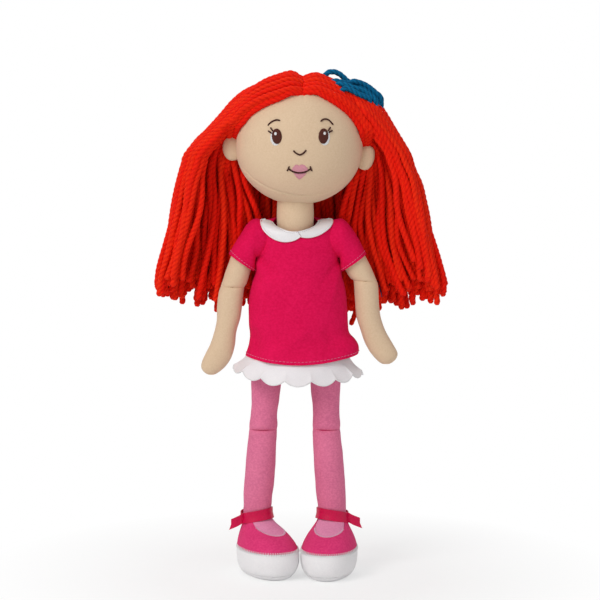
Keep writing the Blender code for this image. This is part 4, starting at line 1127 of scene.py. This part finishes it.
def upper_height(side, x, y):
    """Return the height of the upper's surface over a place of the foot."""
    bottom, top = UPPER[0][0], UPPER[-1][0]
    low, high = bottom, top
    for _ in range(24):
        z = (low + high) / 2.0
        width, toe, heel = table(UPPER, z)
        inboard = INBOARD[side] * (top - z) / (top - bottom)
        across = abs(x + SIDES[side] * inboard) / width
        ahead = abs(y - (heel - toe) / 2.0) / ((toe + heel) / 2.0)
        low, high = (z, high) if across ** FOOT_POWER + ahead ** FOOT_POWER < 1.0 else (low, z)
    return z


def make_shoe_stitches(side):
    """Zigzag round the opening over the instep, and short stitches where upper and sole are sewn together."""
    middle, half_width = INSTEP_OVAL[side]
    spots = []
    for step, turn in enumerate(np.radians(np.linspace(188.0, 352.0, 76))):
        out = 0.55 if step % 2 else -0.55
        x = middle + (half_width + out) * math.cos(turn)
        y = INSTEP_MIDDLE_Y + (INSTEP_HALF_LENGTH + out) * math.sin(turn)
        spots.append(placed((x, y, upper_height(side, x, y) + 0.15), side))
    zigzag = stitches("instep_zigzag_" + side, list(zip(spots, spots[1:])), 0.2, PALE_THREAD)
    low, high = foot_rows(side, SOLE_SEAM, 1, False, 0.12, 78)
    edge = stitches("sole_edge_stitches_" + side, list(zip(low, high)), 0.36, WHITE_THREAD)
    for piece in (zigzag, edge):
        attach(piece, "shin_" + side)


STRAP_Z = 43.4
STRAP_HALF_WIDTH = 4.0
# Half width and half depth of the strap's loop round the ankle
STRAP_LOOP = (12.2, 13.0)
# Places of the free tail: out from the loop, back and up
STRAP_TAIL = ((9.0, 0.4, -5.6), (6.4, -0.8, -4.4), (3.4, -1.8, -3.0), (1.4, -2.4, -1.8))


def make_strap(side):
    """Satin ribbon round the ankle, sewn together at the outer side, with one free tail."""
    sign = SIDES[side]
    half_width, half_depth = STRAP_LOOP
    tail = [(half_width + out, back, lift) for out, back, lift in STRAP_TAIL]
    loop = []
    for turn in np.radians(np.linspace(9.0, 351.0, 90)):
        front, out = math.sin(turn), math.cos(turn)
        loop.append((half_width * out, -half_depth * front, 2.4 * max(front, 0.0) - 1.5 * out))
    line = np.vstack((curve_through(tail, 6)[:-1], loop))
    rows = []
    for edge in np.linspace(-STRAP_HALF_WIDTH, STRAP_HALF_WIDTH, 9):
        row = line.copy()
        row[:, :2] *= 1.0 + 0.02 * max(-edge, 0.0)
        row[:, 0] *= sign
        row[:, 2] += STRAP_Z + edge
        rows.append(placed(row, side))
    rows = np.array(rows)
    if sign > 0:
        rows = rows[:, ::-1]
    strap = cloth_mesh("ribbon_" + side, rows, 0.6, RIBBON)
    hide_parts("ankle_strap_" + side)
    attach(strap, "shin_" + side)


# Heights of the torso's rings: lowest, highest and count of each run
TORSO_RINGS = ((172.6, 190.0, 14), (192.0, 252.0, 30), (254.0, 261.6, 8))
# How far the body lies inside the tunic, its largest half width, and the height above which it rounds off
TORSO_INSET = 2.8
TORSO_HALF_WIDTH = 33.5
TORSO_ROUND_Z = 250.0


def make_torso():
    """Stuffed body under the tunic, pinched flat at the hip seam."""
    rows = []
    for z in np.concatenate([np.linspace(*run) for run in TORSO_RINGS]):
        width, depth = table(TUNIC_ROWS, min(z, TUNIC_TOP_Z))
        rounding = max(z - TORSO_ROUND_Z, 0.0) / 14.5
        shrink = math.sqrt(max(1.0 - rounding ** 2, 0.0)) * 0.9 + 0.1
        half_width = min(width - TORSO_INSET, TORSO_HALF_WIDTH) * (shrink * 0.6 + 0.4)
        half_width *= 1.0 - 0.10 * max(1.0 - (z - HIP_Z) / 12.0, 0.0) ** 2
        half_depth = pinch((depth - TORSO_INSET) * shrink, z - HIP_Z, 24.0)
        rows.append(oval((0.0, BODY_Y, z), half_width, half_depth, 72))
    torso = tube("torso_skin", rows, SKIN)
    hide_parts("torso")
    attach(torso, "torso")


# Embroidered face, in the photograph's pixels

# Middle of each eye, its two lashes, middle of its shine, and the white's shift behind it
EYES = (
    ((276.8, 136.3), ((272.9, 130.9), (270.6, 128.0)), ((271.6, 133.0), (268.3, 131.2)), (275.5, 133.7),
     (-1.5, 1.7)),
    ((323.5, 136.1), ((328.3, 130.5), (330.4, 127.6)), ((329.3, 132.2), (332.3, 130.7)), (324.7, 133.3),
     (1.5, 1.7)),
)
EYE_HALF = (4.8, 7.6)
SHINE_HALF = (1.15, 1.5)
EYE_LEAN = 0.06
BROWS = (
    ((268.1, 125.1), (270.5, 122.6), (274.0, 120.6), (277.3, 119.9), (279.8, 120.6)),
    ((321.0, 121.0), (323.2, 119.4), (326.3, 119.0), (329.6, 120.6), (333.0, 124.6)),
)
# Nose, mouth and the mouth's two ends
LINES = (
    ((293.6, 150.6), (295.3, 152.7), (299.6, 154.8), (303.5, 153.2), (305.9, 150.5)),
    ((288.2, 168.6), (293.3, 171.7), (299.6, 172.8), (305.8, 171.7), (311.1, 168.6)),
    ((289.1, 166.6), (288.3, 168.8), (287.2, 171.0)),
    ((310.2, 166.6), (311.0, 168.8), (311.9, 171.0)),
)
UPPER_LIP = (
    (291.8, 170.4), (292.6, 168.0), (295.2, 165.1), (297.2, 164.8), (299.2, 165.8), (301.6, 164.6),
    (304.4, 165.2), (307.0, 167.8), (308.0, 170.4), (304.0, 172.0), (299.6, 172.6), (295.5, 172.0),
)
LOWER_LIP = (
    (293.8, 173.2), (299.6, 173.6), (306.4, 173.0), (304.4, 175.6), (301.8, 178.0), (299.3, 179.4),
    (297.2, 178.0), (295.3, 175.6),
)
# Distance between two stitches that fill a shape, and how much each end strays
FLOSS_PITCH = 0.42
FLOSS_STRAY = 0.12


def filled(outline, upright, low, high, draw):
    """Return parallel stitches that fill an outline on the face, raised from low to high in their middle."""
    outline = np.array(outline)
    a, b = (0, 1) if upright else (1, 0)
    lines = []
    for at in np.arange(outline[:, a].min() + FLOSS_PITCH / 2.0, outline[:, a].max(), FLOSS_PITCH):
        cuts = []
        for p, q in zip(outline, np.roll(outline, -1, axis=0)):
            if (p[a] - at) * (q[a] - at) < 0.0:
                cuts.append(p[b] + (q[b] - p[b]) * (at - p[a]) / (q[a] - p[a]))
        cuts.sort()
        for start, end in zip(cuts[::2], cuts[1::2]):
            start += draw.uniform(-FLOSS_STRAY, FLOSS_STRAY)
            end += draw.uniform(-FLOSS_STRAY, FLOSS_STRAY)
            line = []
            for share in (0.0, 0.2, 0.5, 0.8, 1.0):
                spot = np.zeros(2)
                spot[a], spot[b] = at, start + (end - start) * share
                line.append(on_head(*spot, low + (high - low) * math.sqrt(math.sin(math.pi * share))))
            lines.append(line)
    return lines


def ellipse(centre, half, turn=0.0):
    """Return the outline of an ellipse in the photograph."""
    x, y = np.cos(ring_angles(40)) * half[0], np.sin(ring_angles(40)) * half[1]
    across = centre[0] + x * math.cos(turn) - y * math.sin(turn)
    return np.stack((across, centre[1] + x * math.sin(turn) + y * math.cos(turn)), axis=1)


def stemmed(pixels, gap):
    """Return slanted stitches, each overlapping the last, along a line of the face."""
    line = even(curve_through([on_head(px, py, gap) for px, py in pixels], 8), 0.55)
    slant = np.array((0.0, 0.0, 0.16))
    return [(a - slant, (a + b) / 2.0, b + slant) for a, b in zip(line[:-2], line[2:])]


def make_face():
    """Eyes, brows, nose and mouth in floss, sewn flat over the cloth."""
    draw = random.Random(5)
    eyes, whites, shine, dark = [], [], [], []
    for centre, upper_lash, lower_lash, glint, shift in EYES:
        lean = EYE_LEAN if shift[0] > 0 else -EYE_LEAN
        behind = (centre[0] + shift[0], centre[1] + shift[1])
        whites += filled(ellipse(behind, EYE_HALF, lean), False, 0.05, 0.20, draw)
        eyes += filled(ellipse(centre, EYE_HALF, lean), False, 0.25, 0.75, draw)
        shine += filled(ellipse(glint, SHINE_HALF), False, 0.85, 1.1, draw)
        dark += stemmed(upper_lash, 0.35) + stemmed(lower_lash, 0.35)
    for brow in BROWS:
        dark += stemmed(brow, 0.3)
    for line in LINES:
        dark += stemmed(line, 0.35)
    lips = filled(UPPER_LIP, True, 0.1, 0.3, draw) + filled(LOWER_LIP, True, 0.1, 0.3, draw)
    sets = (
        ("eye_whites", whites, 0.19, EYE_WHITE), ("eyes", eyes, 0.22, EYE),
        ("eye_shine", shine, 0.2, EYE_WHITE), ("face_lines", dark, 0.56, BROWN), ("lips", lips, 0.22, LIP),
    )
    for name, lines, radius, material in sets:
        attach(stitches("embroidered_" + name, lines, radius, material), "head")


# Hair

YARN_RADIUS = 2.25
YARN_STEP = 1.25
PLY_STEP = 4.0
PLIES = 3
# Swell of a strand's last and first rings
LOOSE_END = (1.06, 1.08, 1.0, 0.6)
FIRST_END = (0.6, 0.9)


class Yarn:
    """Many strands of twisted yarn gathered into one mesh."""

    def __init__(self, seed):
        self.points, self.faces, self.groove, self.tone = [], [], [], []
        self.count = 0
        self.random = random.Random(seed)

    def strand(self, line, radius=YARN_RADIUS):
        """Add a strand along a line."""
        line = even(line, YARN_STEP)
        along = unit(np.gradient(line, axis=0))
        side = np.cross(along[0], (0.31, 0.87, 0.38))
        sides = []
        for step in along:
            side = side - step * (side @ step)
            side /= np.linalg.norm(side)
            sides.append(side)
        sides = np.array(sides)
        columns = 4 * PLIES
        twist = 2.0 * np.pi * travelled(line) / (PLY_STEP * PLIES) + self.random.uniform(0.0, 6.28)
        ridge = np.abs(np.cos(PLIES / 2.0 * (ring_angles(columns)[None, :] - twist[:, None])))
        ends = np.ones(len(line))
        ends[-len(LOOSE_END):] = LOOSE_END
        ends[:len(FIRST_END)] *= FIRST_END
        size = radius * (0.80 + 0.24 * ridge ** 0.8) * ends[:, None]
        rings = rings_across(line, sides, np.cross(along, sides), size[:, :, None], columns)
        points = np.vstack((rings.reshape(-1, 3), line[0], line[-1]))
        self.faces += shifted(tube_faces(len(line), columns), self.count)
        self.points.append(points)
        # Painted shade per point: the depth of the groove between plies, and a fixed share at the two end
        # points
        self.groove.append(np.concatenate(((1.0 - ridge).ravel() ** 1.5, (0.3, 0.3))))
        self.tone.append(np.full(len(points), self.random.uniform(0.0, 1.0)))
        self.count += len(points)

    def link(self, name, material, slot):
        """Link the gathered strands."""
        piece = add_mesh(name, np.concatenate(self.points), self.faces, material, False)
        for label, values in (("groove", self.groove), ("tone", self.tone)):
            attribute = piece.data.attributes.new(label, "FLOAT", "POINT")
            attribute.data.foreach_set("value", np.concatenate(values).astype(np.float32))
        return piece


DOME = np.array((1.0, 1.0, 332.0))
DOME_SIZES = np.array((73.0, 43.0, 46.0))
PARTING_X = 3.0

# Height, then how far out the red hair's outline lies, on the doll's left and right
OUTLINE = {
    "left": (
        (190.0, 113.0), (223.5, 110.5), (238.5, 107.0), (253.5, 103.0), (268.5, 98.8), (283.5, 94.5),
        (298.5, 91.2), (313.5, 85.5), (321.0, 82.5), (328.5, 78.7), (336.0, 75.0), (343.5, 70.0),
        (351.0, 64.0), (358.5, 57.0), (366.0, 47.0), (373.5, 25.0),
    ),
    "right": (
        (190.0, 109.5), (223.5, 107.5), (238.5, 104.0), (253.5, 100.0), (268.5, 96.5), (283.5, 94.0),
        (298.5, 91.5), (313.5, 86.6), (321.0, 82.5), (328.5, 77.0), (336.0, 69.0), (343.5, 61.5),
        (351.0, 55.0), (358.5, 48.5), (366.0, 38.5), (373.5, 21.0),
    ),
}
MIDDLE_OUT = -1.5
# How far round to the front the hair reaches, where 1 is the outer edge
FRONT_ACROSS = 1.34
# Half width, depth behind and depth in front of the hanging hair
CURTAIN_HALF_WIDTH = 92.0
CURTAIN_BACK = 42.0
CURTAIN_FRONT = 26.0


def outline_at(side, z):
    """Return how far out the hair reaches at a height."""
    return float(table(OUTLINE[side], z)[0])


def dome_widening(side, z):
    """Return the outline's reach at a height as a share of the plain dome's."""
    rise = min(abs(z - DOME[2]) / DOME_SIZES[2], 0.90)
    return (outline_at(side, z) - SIDES[side] * DOME[0]) / (DOME_SIZES[0] * math.sqrt(1.0 - rise * rise))


def evenly_across(count, offset):
    """Return places at even steps along the hair, from the middle of the back, 0, to the outer edge, 1."""
    angle = np.linspace(0.0, np.pi / 2.0, 200)
    lengths = travelled(np.stack((np.sin(angle) * CURTAIN_HALF_WIDTH, np.cos(angle) * CURTAIN_BACK), axis=1))
    at = (np.arange(count) + offset) / count * lengths[-1]
    return np.interp(at, lengths, angle) / (np.pi / 2.0)


def curtain_point(side, across, z, inward):
    """Return a point of the hanging hair: across is 0 in the middle of the back and 1 at the outer edge."""
    out = outline_at(side, z) - YARN_RADIUS - 0.2
    down = np.clip((TACK_Z - z) / 125.0, 0.0, 1.0)
    across = min(max(across, 0.0), FRONT_ACROSS)
    angle = across * math.pi / 2.0
    x = MIDDLE_OUT + (out - MIDDLE_OUT) * math.sin(angle) ** (0.96 - 0.06 * down)
    front = -2.0 + 12.0 * down
    turn = math.cos(angle)
    if turn > 0.0:
        y = BODY_Y + front + (CURTAIN_BACK - inward - front) * turn ** (0.95 + 0.15 * down)
    else:
        y = BODY_Y + front + (CURTAIN_FRONT - inward) * turn
    shrink = 1.0 - inward * 0.75 / out * min(across / 0.3, 1.0)
    return np.array((SIDES[side] * x * shrink, y, z))


def cap_line(side, across, inward, start_turn, draw):
    """Return the way of a strand over the head, from the parting towards the level of the ears."""
    sizes = DOME_SIZES - YARN_RADIUS - inward
    end = (curtain_point(side, across, TACK_Z, inward) - DOME) / sizes
    end[0] /= dome_widening(side, TACK_Z)
    end /= np.linalg.norm(end)
    turn = math.radians(start_turn)
    lean = (PARTING_X + SIDES[side] * (1.2 + draw.uniform(-1.8, 1.2)) - DOME[0]) / sizes[0]
    start = np.array((lean, -math.cos(turn), math.sin(turn)))
    start /= np.linalg.norm(start)
    between = math.acos(float(np.clip(start @ end, -1.0, 1.0)))
    points = []
    for share in np.linspace(0.0, 1.0, 9)[:-2]:
        spot = start * math.sin((1.0 - share) * between) + end * math.sin(share * between)
        point = DOME + spot / math.sin(between) * sizes
        point[0] = DOME[0] + (point[0] - DOME[0]) * dome_widening(side, point[2])
        points.append(point)
    points[1] = points[1] + (points[1] - DOME) * draw.uniform(0.0, 0.035)
    points[0] = points[0] - (points[0] - DOME) * 0.07
    return points


def hang(side, across, inward, length, draw):
    """Return the way of a strand from the ears' level to its end, with its waves."""
    drift, deep = draw.uniform(-0.10, 0.10), draw.uniform(-4.0, 4.0)
    phase, turns, size = draw.uniform(0.0, 6.28), draw.uniform(3.5, 9.0), draw.uniform(0.5, 2.6)
    points = []
    for share in np.linspace(0.0, 1.0, 11)[1:]:
        point = curtain_point(side, across + drift * share, TACK_Z - length * share, inward)
        point[0] += math.sin(share * turns + phase) * size * min(share * 3.0, 1.0)
        point[1] += deep * share + math.cos(share * turns + phase) * size * 0.6
        points.append(point)
    return points


# Lower edge of the hair round the face, from the parting to the tack, in the photograph's pixels
HAIRLINE = {
    "right": (
        (303.0, 90.0), (292.0, 93.5), (280.0, 97.5), (262.5, 105.0), (248.5, 114.5), (240.0, 125.5),
        (235.0, 131.5),
    ),
    "left": ((304.0, 90.0), (322.0, 94.5), (339.5, 104.5), (354.0, 117.5), (361.0, 130.0), (364.0, 139.5)),
}
# The outermost and the innermost strand below the tack, in the photograph's pixels
FAN = {
    "right": (
        ((231.0, 127.5), (220.0, 126.5), (207.0, 132.0), (195.5, 142.5), (186.0, 160.0), (180.0, 188.0),
         (174.0, 222.0), (168.5, 252.0), (161.5, 280.0), (158.5, 298.0)),
        ((235.0, 138.0), (236.5, 150.0), (240.0, 166.0), (248.0, 190.0), (257.0, 215.0), (263.0, 245.0),
         (265.0, 275.0), (264.0, 300.0), (263.0, 312.0)),
    ),
    "left": (
        ((367.0, 137.5), (376.0, 138.5), (388.0, 149.0), (398.0, 170.0), (407.0, 200.0), (416.0, 240.0),
         (428.0, 275.0), (437.0, 297.0)),
        ((362.5, 148.0), (359.0, 165.0), (352.0, 182.0), (345.0, 205.0), (339.0, 230.0), (337.0, 260.0),
         (340.0, 290.0), (346.0, 312.0)),
    ),
}
# Height of each layer of strands round the face over the head, and its count of strands
BANDS = ((0.0, 9), (3.6, 8), (6.6, 6))
BAND_POINTS = 16
FILL_STRANDS = 20
FAN_POINTS = 26
FAN_STEPS = 60

# What hanging hair has to clear: half sizes of the neck, sleeve and arm, and where yoke and sleeve end
NECK_HALF = (15.0, 15.0)
YOKE_END_Z = 266.0
SLEEVE_END_Z = 235.0
SLEEVE_HALF = 13.6
ARM_HALF = 10.0
# Depth in front of which no hair lies
FREE_Y = -60.0


def behind_body(x, z):
    """Return the least depth at which a strand clears the head, neck, tunic and arms at this place."""
    room = YARN_RADIUS + 0.5
    side = "left" if x > 0.0 else "right"
    ear, ear_width, ear_height = ear_place(side)[:3]
    rise = CROWN_RISE if z > HEAD[2] else CHIN_DROP
    # Middle depth, half depth, and distance from the middle across and upwards as shares of the half sizes
    solids = [
        (HEAD[1], HEAD_HALF_DEPTH, (x - HEAD[0]) / (HEAD_HALF_WIDTH + room), (z - HEAD[2]) / (rise + room)),
        (ear[1], EAR_HALF_DEPTH, (x - ear[0]) / (ear_width + room), (z - ear[2]) / (ear_height + room)),
    ]
    if z < NOD_Z:
        width, depth = table(TUNIC_ROWS, min(z, TUNIC_TOP_Z)) if z < YOKE_END_Z else NECK_HALF
        solids.append((BODY_Y, depth + 1.0, x / (width + room), 0.0))
    rings = np.array(ARMS[side])[::-1]
    up = z - ELBOW_Z[side]
    if rings[0, 1] < up < rings[-1, 1] + 12.0:
        out = ARMHOLE_X + np.interp(up, rings[:, 1], rings[:, 0])
        half = SLEEVE_HALF if z > SLEEVE_END_Z else ARM_HALF
        solids.append((BODY_Y, half, (abs(x) - out) / (half + room + 2.0), 0.0))
    least = FREE_Y
    for middle, half_depth, across, upwards in solids:
        inside = 1.0 - across ** 2 - upwards ** 2
        if inside > 0.0:
            least = max(least, middle + (half_depth + room) * math.sqrt(inside))
    return least


def cleared(line):
    """Return a strand's line kept behind the body, with its depth smoothed."""
    least = np.array([behind_body(x, z) for x, _, z in line])
    line[:, 1] = np.maximum(line[:, 1], least)
    for _ in range(6):
        line[1:-1, 1] = (line[:-2, 1] + 2.0 * line[1:-1, 1] + line[2:, 1]) / 4.0
    line[:, 1] = np.maximum(line[:, 1], least - 0.5)
    return line


def band_line(side, share, lift):
    """Return a strand's way on the head from the parting to the tack; share 0 is at the hairline."""
    sizes = np.array((HEAD_HALF_WIDTH, HEAD_HALF_DEPTH, CROWN_RISE)) + YARN_RADIUS
    edge = curve_through([on_head(px, py, YARN_RADIUS) for px, py in HAIRLINE[side]], 6)
    edge = (spaced(edge, BAND_POINTS) - HEAD) / sizes
    start, end = np.array((0.05, 0.25, 1.0)), np.array((SIDES[side] * 0.95, 0.26, 0.30))
    points = []
    for step, front in enumerate(edge):
        along = step / (BAND_POINTS - 1.0)
        rear = start * (1.0 - along) + end * along
        rear /= np.linalg.norm(rear)
        spot = front / np.linalg.norm(front) * (1.0 - share) + rear * share
        spot /= np.linalg.norm(spot)
        points.append(HEAD + spot * (sizes + lift * (0.2 + 0.8 * along) - 0.4))
    return np.array(points)


def fan_line(side, share, start, deep, draw):
    """Return a strand's way from the tack to its end; share 0 is next to the face, 1 at the outline."""
    outer, inner = (
        spaced(np.array([at_depth(px, py, 0.0) for px, py in path]), FAN_POINTS) for path in FAN[side]
    )
    reach = draw.uniform(0.88, 1.0)
    line = spaced(inner + (outer - inner) * share, FAN_STEPS)[: int(FAN_STEPS * reach)]
    t = np.linspace(0.0, reach, len(line))
    into = np.clip(t / 0.3, 0.0, 1.0)
    into = into * into * (3.0 - 2.0 * into)
    line[:, 1] = start[1] * (1.0 - into) + (6.0 + deep) * into
    phase, size = draw.uniform(0.0, 6.28), draw.uniform(0.8, 3.2)
    line[:, 0] += np.sin(t * draw.uniform(4.0, 10.0) + phase) * size * np.clip(t * 2.5, 0.0, 1.0)
    line[:, 1] += np.cos(t * draw.uniform(5.0, 9.0) + phase) * size * 0.7 * into
    return cleared(line)


def gathered(yarn_set, side):
    """Add the strands that cross the forehead's edge, are tacked above the ear and fan out below it."""
    draw = yarn_set.random
    most = BANDS[0][1]
    for lift, count in BANDS:
        for index in range(count):
            share = (index + (0.0 if lift == 0.0 else 0.5)) / (most - 1)
            band = band_line(side, share, lift + draw.uniform(-0.2, 0.5))
            band[0] += (band[0] - HEAD) * -0.06 + (draw.uniform(-2.2, 0.6) - 0.8 * SIDES[side], 0.0, 0.0)
            band[2] += (0.0, 0.0, draw.uniform(0.0, 1.0))
            spread = share + draw.uniform(-0.22, 0.22) + (0.12 if lift > 0.0 else 0.0)
            fan = fan_line(side, min(max(spread, 0.0), 1.0), band[-1], lift * 1.3, draw)
            yarn_set.strand(curve_through(np.vstack((band[::2], fan[4::5], fan[-1:])), 4))
    for index in range(FILL_STRANDS):
        share = (index + 0.5) / FILL_STRANDS + draw.uniform(-0.03, 0.03)
        start = band_line(side, draw.uniform(0.3, 1.0), -1.0)[-1]
        fan = fan_line(side, min(max(share, 0.0), 1.0), start, draw.uniform(7.0, 13.0), draw)
        yarn_set.strand(curve_through(np.vstack((start[None], fan[4::5], fan[-1:])), 4))


# Blue strands over the hair beside the parting: start and end x, start and end y, height over the hair's
# dome, and height of a loop at the start
BLUE_LANES = (
    (17.5, 66.0, -9.0, -1.0, 1.6, 5.0),
    (23.0, 64.5, -13.5, -5.5, 1.6, 0.0),
    (27.0, 62.0, -18.0, -10.0, 1.6, 0.0),
    (31.5, 56.0, -22.0, -14.5, 1.4, 0.0),
    (33.0, 65.0, -5.0, 3.0, 1.6, 0.0),
    (36.0, 63.0, -11.5, -4.0, 4.8, 0.0),
)
# Way of the blue strand that runs on inside the hair
BLUE_HIDDEN = (
    (58.0, -6.0, 354.0), (64.0, 2.0, 347.0), (65.0, 9.0, 336.0), (65.5, 13.0, 310.0), (65.0, 17.0, 272.0),
    (63.0, 18.0, 235.0), (61.0, 15.0, 206.0),
)


def over_hair(x, y, lift):
    """Return the point this far outside the left half of the hair's dome, over a place seen from above."""
    low, high = DOME[2], DOME[2] + DOME_SIZES[2]
    for _ in range(24):
        z = (low + high) / 2.0
        sizes = DOME_SIZES * (dome_widening("left", z), 1.0, 1.0)
        away = np.array((x, y, z)) - DOME
        low, high = (z, high) if sum((away / sizes) ** 2) < 1.0 else (low, z)
    out = away / sizes ** 2
    return np.array((x, y, z)) + out / np.linalg.norm(out) * lift


def make_blue_yarn():
    """Blue strands over the hair beside the parting; one runs on inside the hair and ends below it."""
    yarn_set = Yarn(21)
    for start_x, end_x, start_y, end_y, lift, loop in BLUE_LANES:
        path = []
        for share in np.linspace(0.0, 1.0, 15):
            dip = 5.5 * (1.0 - min(share / 0.08, 1.0)) + 7.0 * max(share - 0.82, 0.0) / 0.18
            x = start_x + (end_x - start_x) * share
            y = start_y + (end_y - start_y) * share + 0.7 * math.sin(share * 9.0 + start_x)
            point = over_hair(x, y, lift - dip)
            point[2] += loop * math.sin(math.pi * min(share / 0.40, 1.0))
            path.append(point)
        yarn_set.strand(curve_through(path, 5), YARN_RADIUS * 0.92)
    yarn_set.strand(curve_through(BLUE_HIDDEN, 6))
    piece = yarn_set.link("yarn_blue", BLUE, "yarn_blue")
    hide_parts("hair_blue_bundle")
    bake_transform(piece)


# Strands that hang lower than the rest between the tunic and the left arm, in the photograph's pixels
LOW_STRANDS = {
    "left": (
        ((362.0, 150.0), (358.0, 168.0), (352.0, 186.0), (347.0, 208.0), (345.0, 232.0), (346.5, 255.0),
         (350.5, 275.0), (355.0, 292.0), (356.5, 304.0), (354.5, 315.0), (350.5, 325.0)),
        ((363.0, 150.0), (360.0, 170.0), (356.0, 190.0), (352.0, 212.0), (350.0, 235.0), (351.0, 258.0),
         (354.0, 280.0), (357.0, 298.0), (358.0, 311.0), (359.5, 320.0)),
    ),
    "right": (),
}
LOW_STRAND_Y = 14.0

HAIR_SEEDS = {"left": 7, "right": 11}
# Distance inward from the outline, and count of strands, of each layer of hair; the last starts at the tack
HAIR_LAYERS = ((0.0, 36), (4.4, 34), (8.8, 30), (13.0, 26))
# Strands added in front of the outer edge: their first place, step and count
FRONT_STRANDS = (1.03, 0.06, 6)
# Turn over the head, from the front, at which the rearmost strand starts, and its change to the foremost
CAP_TURN = (172.0, -98.0)
# Longest strand below the tack, and how much shorter: by chance, towards the outer edge and by each layer
HANG_LENGTH = 138.0
SHORTER = (18.0, 14.0, 2.0)


def make_hair(side):
    """Yarn hair of one side: from the parting over the head, and hanging to the shoulders' back."""
    yarn_set = Yarn(HAIR_SEEDS[side])
    draw = yarn_set.random
    gathered(yarn_set, side)
    first, step, extra = FRONT_STRANDS
    by_chance, by_place, by_layer = SHORTER
    for layer, (inward, count) in enumerate(HAIR_LAYERS):
        added = [first + step * number for number in range(extra)]
        for index, across in enumerate([*evenly_across(count, 0.2 + 0.3 * layer), *added]):
            along = (index + 0.5) / count
            length = HANG_LENGTH - by_chance * draw.random() - by_place * along ** 3 - layer * by_layer
            path = []
            if layer < len(HAIR_LAYERS) - 1:
                path = cap_line(side, across, inward, CAP_TURN[0] + CAP_TURN[1] * along, draw)
            elif across > 0.5:
                break
            yarn_set.strand(cleared(curve_through(path + hang(side, across, inward, length, draw), 4)))
    for pixels in LOW_STRANDS[side]:
        path = curve_through([at_depth(px, py, LOW_STRAND_Y) for px, py in pixels], 6)
        yarn_set.strand(cleared(path), YARN_RADIUS * 0.85)
    piece = yarn_set.link("yarn_hair_" + side, RED, "yarn_red")
    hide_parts("hair_cap_" + side, "hair_curtain_" + side)
    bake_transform(piece)


def main():
    """Build the looks of the doll."""
    make_camera()
    make_stage()
    make_torso()
    make_head()
    make_face()
    make_tunic()
    make_tape()
    make_blue_yarn()
    for side in SIDES:
        make_ear(side)
        make_leg(side)
        make_arm(side)
        make_sleeve(side)
        make_collar(side)
        make_petticoat(side)
        make_foot(side)
        make_strap(side)
        make_hair(side)


bpy.context.scene.view_settings.view_transform = "Standard"
main()
